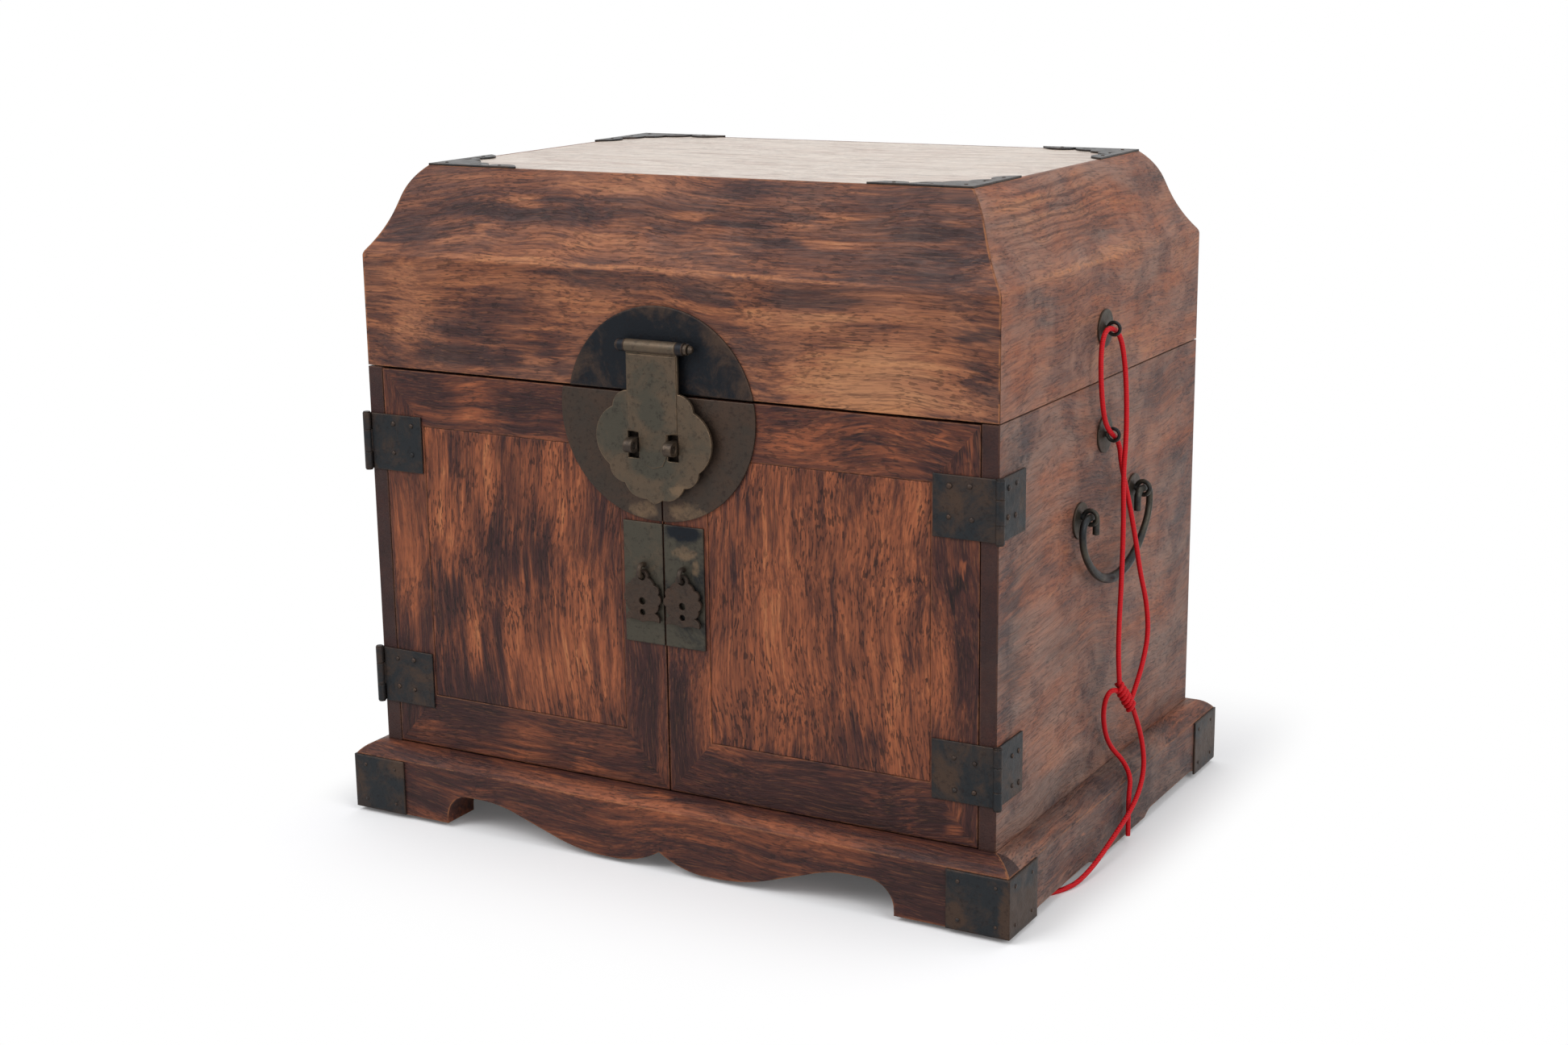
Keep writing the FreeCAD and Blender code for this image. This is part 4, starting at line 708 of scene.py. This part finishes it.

# What wood() is told of each board.
# sheen is the share of painted sheen on a board, a painted reflection of the white room.
BOARDS = {
    "plinth_front": dict(grain="x", worn=0.42, seed=1, contrast=0.8, spots=APRON),
    "plinth_back": dict(grain="x", worn=0.36, seed=2),
    "plinth_left": dict(grain="y", face="side", worn=0.36, seed=3, sheen=0.6),
    "plinth_right": dict(
        grain="y", face="side", worn=0.44, seed=4, sheen=0.65,
        spots=((-46, 22, 9, 5, -0.2), (-46, 22, 4, 2, 0.5), (27, 22, 55, 28, -0.1))),
    "case_side_left": dict(
        grain="y", face="side", worn=0.44, seed=5, contrast=0.7, pores=0.4, sheen=0.7, edge=0.1),
    "case_side_right": dict(
        grain="y", face="side", worn=0.53, seed=6, contrast=0.7, pores=0.4, sheen=0.7, edge=0.1,
        spots=SIDE),
    "case_back": dict(grain="x", worn=0.4, seed=7, sheen=0.3),
    "case_bottom": dict(grain="x", worn=0.5, seed=8, sheen=0.3),
    "lid_front": dict(
        grain="x", worn=0.5, seed=9, contrast=0.85, spots=LID_FRONT, cracks=LID_CRACKS, sheen=0.2,
        straw=0.35, streaks=0.5, ridge=(0, 295.8, 190, 2), edge=0.6),
    "lid_back": dict(grain="x", worn=0.42, seed=10),
    "lid_left": dict(
        grain="y", face="side", worn=0.48, seed=11, contrast=0.7, pores=0.35, sheen=0.7),
    "lid_right": dict(
        grain="y", face="side", worn=0.66, seed=12, contrast=0.7, pores=0.4, sheen=0.7,
        spots=LID_SIDE, swirl=(-30, 324, 110, 28), ridge=(0, 295.8, 140, 2), edge=0.3),
    # The lid's top is painted pale: a painted reflection of the white room, over the wood's
    # colour.
    "lid_panel": dict(
        grain="x", face="top", worn=0.55, seed=13, contrast=0.6, pores=0.3, sheen=0.95,
        haze="top_sheen", shine=0.8, rough=0.36),
    "door_left_frame": dict(
        grain="z", worn=0.42, seed=14, contrast=0.7, spots=LEFT_DOOR, edge=0.25),
    "door_right_frame": dict(
        grain="z", worn=0.42, seed=15, contrast=0.7, spots=RIGHT_DOOR, drops=DROPS, edge=0.25),
    "door_left_panel": dict(grain="z", worn=0.46, seed=16, spots=LEFT_DOOR, pores=0.7, edge=0),
    "door_right_panel": dict(
        grain="z", worn=0.46, seed=17, spots=RIGHT_DOOR, drops=DROPS, pores=0.7, edge=0),
    "tray_floor": dict(grain="x", face="top", worn=0.6, seed=18, contrast=0.7),
    "tray_front": dict(grain="x", worn=0.5, seed=19),
    "drawer_shelf": dict(grain="x", face="top", worn=0.5, seed=20),
    "drawer_divider": dict(grain="z", worn=0.5, seed=21),
    "drawer_upper_left": dict(grain="x", worn=0.55, seed=22),
    "drawer_upper_right": dict(grain="x", worn=0.55, seed=23),
    "drawer_lower_left": dict(grain="x", worn=0.55, seed=24),
    "drawer_lower_right": dict(grain="x", worn=0.55, seed=25),
}

HASP_SPOTS = ((-1, 229, 10, 11, 0.3), (-4, 204, 16, 9, 0.34), (-24, 222, 14, 20, 0.16))
# The nodes that share a patina, and what metal() is told of it.
PATINAS = (
    (("door_hinge_case_leaves", "door_left_hinge_leaves", "door_right_hinge_leaves",
      "door_hinge_pins", "lid_hinge_case_leaves", "lid_hinge_lid_leaves", "lid_hinge_pins"),
     dict(main="iron", second="rust", seed=1.0, patches=0.55,
          spots=((152, 201, 9, 9, 0.14), (150, 72, 9, 16, 0.14)))),
    (("plinth_mounts",),
     dict(main="iron", second="rust", seed=5.0, patches=0.56, rim_share=0.9, radius=0.0016,
          spots=((160, 9, 8, 9, 0.3), (186, 12, 5, 20, 0.22), (-160, 27, 8, 8, 0.2)))),
    (("lid_mounts",), dict(main="iron", second="umber", seed=6.0, face="top", rough=0.4)),
    (("lock_plate_upper",),
     dict(main="steel", second="rust", seed=3.0, patches=0.5, rim_share=0.9, radius=0.0014,
          spots=((0, 245, 52, 40, -0.16), (40, 268, 20, 12, 0.16)))),
    (("door_left_lock_plate",),
     dict(main="umber", second="rust", seed=3.4, patches=0.5, rubbed=((-10, 180, 14, 8),))),
    (("door_right_lock_plate",),
     dict(main="umber", second="rust", seed=3.8, patches=0.48, rubbed=((14, 181, 18, 9),))),
    (("hasp",),
     dict(main="brass", second="verdigris", seed=2.0, patches=0.55, spots=HASP_SPOTS,
          rubbed=((14, 192, 12, 6),), rim="tan")),
    (("hasp_pin", "door_left_staples", "door_right_staples"),
     dict(main="umber", second="brass", seed=2.2, patches=0.5)),
    (("door_left_pull_plate",), dict(main="verdigris", second="brass", seed=4.0, patches=0.62)),
    (("door_right_pull_plate",),
     dict(main="verdigris", second="steel", seed=4.4, patches=0.6,
          spots=((12, 171, 14, 6, 0.3),), rubbed=((12, 161, 12, 6), (18, 154, 4, 7)))),
    (("pendant_left", "pendant_right"),
     dict(main="rust", second="umber", seed=4.8, rough=0.6, relief=1.0)),
    (("handle_left", "handle_right", "case_eyes", "lid_eyes"),
     dict(main="iron", second="verdigris", seed=7.0, face="side", patches=0.5, rough=0.45,
          rim_share=0.0)),
    (("case_discs", "lid_discs"),
     dict(main="verdigris", second="rust", seed=8.0, face="side", patches=0.5)),
    (("drawer_upper_left_knob", "drawer_upper_right_knob", "drawer_lower_left_knob",
      "drawer_lower_right_knob"),
     dict(main="umber", second="brass", seed=8.6)),
)

# The nails' middles in millimetres: on the doors' leaves across and up, on the case's in and up.
DOOR_LEAF_NAILS = {
    "left": ((149, 208.6), (160.4, 208.8), (149.3, 193.7), (160.8, 193.7),
             (155, 84), (165.4, 83.6), (155.3, 67.9), (165.3, 68.5)),
    "right": ((151.2, 208.4), (161.2, 209), (151, 194.1), (162.3, 193.8),
              (154.3, 81), (164.8, 79.8), (154.7, 65.4), (164.5, 65.7)),
}
CASE_LEAF_NAILS = ((-117.9, 208), (-109.4, 208.6), (-118.5, 194.7), (-110.3, 194),
                   (-111, 80.3), (-103.6, 80.6), (-110.6, 65.7), (-103, 65))
# Those on the mounts: how far in from a corner, and how high or how far in the other way.
PLINTH_NAIL_INSETS, PLINTH_NAIL_HEIGHTS = (6, 25), (7.5, 26.5)
LID_NAIL_INSETS = ((6.5, 6.5), (41, 3.6), (3.6, 41))

# The strap on the hasp, in millimetres: its middle, its outline across from there and up, and its
# layers from the back, each an inset and a depth.  Below STRAP_NECK the inset goes up.
STRAP_MIDDLE, STRAP_HALF, STRAP_NECK = -1.2, 14, 210
STRAP_OUTLINE = (
    (-13.6, 256.8), (-13.6, 220.2), (-7.6, 219.2), (-7.4, 208), (-5.2, 203.6), (0, 202),
    (5.2, 203.6), (7.4, 208), (7.6, 219.2), (13.6, 220.2), (13.6, 256.8),
)
STRAP_LAYERS = ((0, -132.1), (0, -132.6), (0.25, -132.75))

CAMERA_PLACE = (0.58638, -1.05093, 0.4446)
CAMERA_TURN = (29.37, 13.905, -0.708)  # yaw, pitch and roll, in degrees
CAMERA_LENS, CAMERA_SENSOR = 53.95, 36

FLOOR_HALF = 4
FLOOR_FADE = 0.14  # distance from the plinth at which the floor has turned white, in metres
FLOOR_STRETCH = (3, 1, 1)  # it fades three times as fast sideways
WHITE = (1, 1, 1, 1)
# Square lamps: place, size and watts.  All of them face the chest.
LAMPS = (
    ("key", (-1.3, -2.2, 2.4), 1.8, 62),
    ("fill", (2.2, -0.9, 1.5), 1.6, 32),
    ("top", (0.1, 0.6, 2.6), 2.0, 22),
)
LAMP_AIM = Vector((0, 0, 0.15))


# Operators


class SealChestOperator:
    bl_options = {"REGISTER", "UNDO"}


class SEALCHEST_OT_camera(SealChestOperator, Operator):
    """Set the camera at the photograph's viewing angle"""
    bl_idname = "seal_chest.camera"
    bl_label = "Camera"

    def execute(self, context):
        yaw, pitch, roll = (math.radians(angle) for angle in CAMERA_TURN)
        back = Vector((math.sin(yaw) * math.cos(pitch), -math.cos(yaw) * math.cos(pitch),
                       math.sin(pitch)))
        level = (-back).cross(Vector((0, 0, 1))).normalized()
        upright = level.cross(-back)
        right = level * math.cos(roll) + upright * math.sin(roll)
        up = upright * math.cos(roll) - level * math.sin(roll)
        data = bpy.data.cameras.new("camera")
        data.lens = CAMERA_LENS
        data.sensor_width = CAMERA_SENSOR
        data.clip_start = 0.05
        data.clip_end = 40
        camera = bpy.data.objects.new("camera", data)
        context.scene.collection.objects.link(camera)
        turn = Matrix((right, up, back)).transposed().to_4x4()
        camera.matrix_world = Matrix.Translation(CAMERA_PLACE) @ turn
        context.scene.camera = camera
        return {"FINISHED"}


class SEALCHEST_OT_cords(SealChestOperator, Operator):
    """Run the red cord through both eyes, knot it and let its two tails hang"""
    bl_idname = "seal_chest.cords"
    bl_label = "Cord"

    def execute(self, context):
        red = braid("red_cord")
        knot = self.knot(red)
        loop = cord_tube("cord_loop_tube", LOOP, red)
        line = line_of("cord_loop", LOOP)
        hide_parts("cord_loop")
        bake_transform(loop)
        for name, points, length, node in (
                ("cord_short_tail", SHORT_TAIL, 0.098, "cord_tail_short"),
                ("cord_long_tail", LONG_TAIL, 0.1757, "cord_tail_long")):
            tail = cord_tube(name, points, red)
            line = line_of(name, points)
            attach(tail, "case")
            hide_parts(node)
        return {"FINISHED"}

    def knot(self, red):
        """The cord wound round both strands, each turn a little askew."""
        width, turns = sizes().cord_width, sizes().knot_turns
        first, last = KNOT_ENDS
        axis = last - first
        turned = axis.to_track_quat("Z", "Y").to_matrix()
        chance = random.Random(4)
        points = []
        radius = width * KNOT_RADIUS
        for k in range(turns * KNOT_POINTS + 1):
            angle = math.tau * k / KNOT_POINTS
            share = k / (turns * KNOT_POINTS)
            wobble = 1 + chance.uniform(-KNOT_UNEVEN, KNOT_UNEVEN)
            lean = KNOT_LEAN * width * math.cos(angle)
            point = Vector((radius * wobble * math.cos(angle),
                            radius * KNOT_OVAL * wobble * math.sin(angle),
                            axis.length * share + lean))
            points.append(first + turned @ point)
        mesh = route_mesh("cord_knot_turns", points, width * KNOT_CORD)
        piece = new_piece("cord_knot_turns", mesh, "case", red)
        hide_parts("cord_knot")
        return piece


class SEALCHEST_OT_wood(SealChestOperator, Operator):
    """Stain and wear every board"""
    bl_idname = "seal_chest.wood"
    bl_label = "Wood"

    def execute(self, context):
        for node, look in BOARDS.items():
            look = dict(look)
            if node.startswith("door") and node.endswith("frame"):
                look["panel"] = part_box(node.replace("frame", "panel"))
            dress(node, wood(node + "_wood", **look))
        return {"FINISHED"}


class SEALCHEST_OT_metal(SealChestOperator, Operator):
    """Give hinges, mounts, plates, pulls and handles their patina"""
    bl_idname = "seal_chest.metal"
    bl_label = "Metal"

    def execute(self, context):
        for names, look in PATINAS:
            patina = metal(names[0] + "_patina", **look)
            for node in names:
                dress(node, patina)
        dress("foot_pads", clear_pad("foot_pad_plastic"))
        return {"FINISHED"}


class SEALCHEST_OT_trim(SealChestOperator, Operator):
    """Set the nails, the pin's domed ends and the hasp's strap"""
    bl_idname = "seal_chest.trim"
    bl_label = "Nails and strap"

    def execute(self, context):
        iron = metal("nail_iron", "iron", "rust", 9.0, patches=0.46, rough=0.42)
        chance = random.Random(11)
        front, right, up = Vector((0, -1, 0)), Vector((1, 0, 0)), Vector((0, 0, 1))
        for side, sign in zip(("left", "right"), SIGNS):
            places = [((sign * x, LEAF_Y, z), front) for x, z in DOOR_LEAF_NAILS[side]]
            nails("door_%s_hinge_nails" % side, places, "door_" + side, iron, chance)
        places = [((sign * LEAF_X, y, z), right * sign)
                  for sign in SIGNS for y, z in CASE_LEAF_NAILS]
        nails("case_hinge_nails", places, "case", iron, chance)

        places = []
        for sign_x, sign_y, inset, z in product(SIGNS, SIGNS, PLINTH_NAIL_INSETS,
                                                PLINTH_NAIL_HEIGHTS):
            places.append(((sign_x * (PLINTH_X - inset), sign_y * (PLINTH_Y + SHEET), z),
                           -front * sign_y))
            places.append(((sign_x * (PLINTH_X + SHEET), sign_y * (PLINTH_Y - inset), z),
                           right * sign_x))
        nails("plinth_mount_nails", places, "case", iron, chance, radius=0.0011, rise=0.0005)
        places = [((sign_x * (TOP_X - in_x), sign_y * (TOP_Y - in_y), TOP + SHEET), up)
                  for sign_x, sign_y, (in_x, in_y) in product(SIGNS, SIGNS, LID_NAIL_INSETS)]
        nails("lid_mount_nails", places, "lid", iron, chance, radius=0.0011, rise=0.0004)

        knob = metal("hasp_pin_knob_brass", "umber", "brass", 12.0, rough=0.45)
        places = [(end, right * sign) for end, sign in zip(HASP_PIN, SIGNS)]
        nails("hasp_pin_knobs", places, "lid", knob, chance, radius=0.0025, rise=0.0016)
        self.strap()
        return {"FINISHED"}

    def strap(self):
        """A second sheet on the hasp, from the barrel down between its slots."""
        brass = metal("hasp_strap_brass", "brass", "verdigris", 2.4, spots=HASP_SPOTS,
                      patches=0.55, rim="tan")
        bm = bmesh.new()
        rows = []
        for inset, y in STRAP_LAYERS:
            row = [(STRAP_MIDDLE + x * (1 - inset / STRAP_HALF), y,
                    z + (inset if z < STRAP_NECK else -inset)) for x, z in STRAP_OUTLINE]
            rows.append([bm.verts.new(Vector(point) * MM) for point in row])
        skin(bm, rows)
        bm.faces.new(rows[-1])
        bm.faces.new(list(reversed(rows[0])))
        bmesh.ops.recalc_face_normals(bm, faces=bm.faces)
        mesh = mesh_from("hasp_strap_sheet", bm, smooth=False)
        new_piece("hasp_strap_sheet", mesh, "hasp", brass)


class SEALCHEST_OT_stage(SealChestOperator, Operator):
    """Set the pale floor, the world and the soft lamps"""
    bl_idname = "seal_chest.stage"
    bl_label = "Stage"

    def execute(self, context):
        scene = context.scene
        scene.view_settings.view_transform = "Standard"
        bm = bmesh.new()
        bmesh.ops.create_grid(bm, x_segments=8, y_segments=8, size=FLOOR_HALF)
        floor = bpy.data.objects.new("floor", mesh_from("floor", bm))
        scene.collection.objects.link(floor)
        floor.data.materials.append(self.pale_floor())
        scene.world = self.studio()
        for name, place, size, power in LAMPS:
            lamp = bpy.data.lights.new(name, "AREA")
            lamp.size = size
            lamp.energy = power
            holder = bpy.data.objects.new(name, lamp)
            holder.location = place
            aim = LAMP_AIM - Vector(place)
            holder.rotation_euler = aim.to_track_quat("-Z", "Y").to_euler()
            scene.collection.objects.link(holder)
        return {"FINISHED"}

    def pale_floor(self):
        """Paper that takes a soft shadow near the chest and turns white away from it."""
        made = Finish("pale_floor")
        paper = made.node("BsdfDiffuse", {"Color": (0.8, 0.8, 0.8, 1)})
        grey = made.node("BsdfDiffuse", {"Color": (0.78, 0.78, 0.79, 1)})
        glow = made.node("Emission", {"Color": WHITE, "Strength": 0.07})
        white = made.node("Emission", {"Color": WHITE, "Strength": 1.0})
        near = made.node("AddShader", {0: grey.outputs[0], 1: glow.outputs[0]})
        beyond = made.vector("SUBTRACT", made.vector("ABSOLUTE", made.place()),
                             (PLINTH_X * MM, PLINTH_Y * MM, 0))
        beyond = made.vector("MAXIMUM", beyond, (0, 0, 0))
        away = made.length(made.vector("MULTIPLY", beyond, FLOOR_STRETCH))
        bright = made.node("MixShader", {0: made.step(away, 0.0, FLOOR_FADE),
                                         1: near.outputs[0], 2: white.outputs[0]})
        made.end("Material", made.node("MixShader", {
            0: made.seen(), 1: paper.outputs[0], 2: bright.outputs[0]}))
        return made.material

    def studio(self):
        """A white room to the eye, and a dimmer one to the surfaces that it lights."""
        world = bpy.data.worlds.new("studio")
        world.use_nodes = True
        made = Nodes(world.node_tree)
        lit = made.node("Background", {"Color": (0.98, 0.99, 1, 1), "Strength": 0.55})
        white = made.node("Background", {"Color": WHITE, "Strength": 1.0})
        made.end("World", made.node("MixShader", {
            0: made.seen(), 1: lit.outputs[0], 2: white.outputs[0]}))
        return world


class SEALCHEST_PT_panel(Panel):
    bl_idname = "SEALCHEST_PT_panel"
    bl_label = "Seal Chest"
    bl_space_type = "VIEW_3D"
    bl_region_type = "UI"
    bl_category = "Seal Chest"

    def draw(self, context):
        for group in (context.scene.seal_chest_sizes, context.scene.seal_chest_colours):
            for prop in group.bl_rna.properties:
                if prop.identifier not in ("rna_type", "name"):
                    self.layout.prop(group, prop.identifier)
        for operator in OPERATORS:
            self.layout.operator(operator.bl_idname)


OPERATORS = (SEALCHEST_OT_camera, SEALCHEST_OT_cords, SEALCHEST_OT_wood, SEALCHEST_OT_metal,
             SEALCHEST_OT_trim, SEALCHEST_OT_stage)
CLASSES = (SealChestSizes, SealChestColours) + OPERATORS + (SEALCHEST_PT_panel,)


def register():
    for cls in CLASSES:
        bpy.utils.register_class(cls)
    bpy.types.Scene.seal_chest_sizes = PointerProperty(type=SealChestSizes)
    bpy.types.Scene.seal_chest_colours = PointerProperty(type=SealChestColours)


def unregister():
    del bpy.types.Scene.seal_chest_colours
    del bpy.types.Scene.seal_chest_sizes
    for cls in reversed(CLASSES):
        bpy.utils.unregister_class(cls)


def main():
    register()
    for operator in OPERATORS:
        family, action = operator.bl_idname.split(".")
        getattr(getattr(bpy.ops, family), action)()
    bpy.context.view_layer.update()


if __name__ == "__main__":
    main()
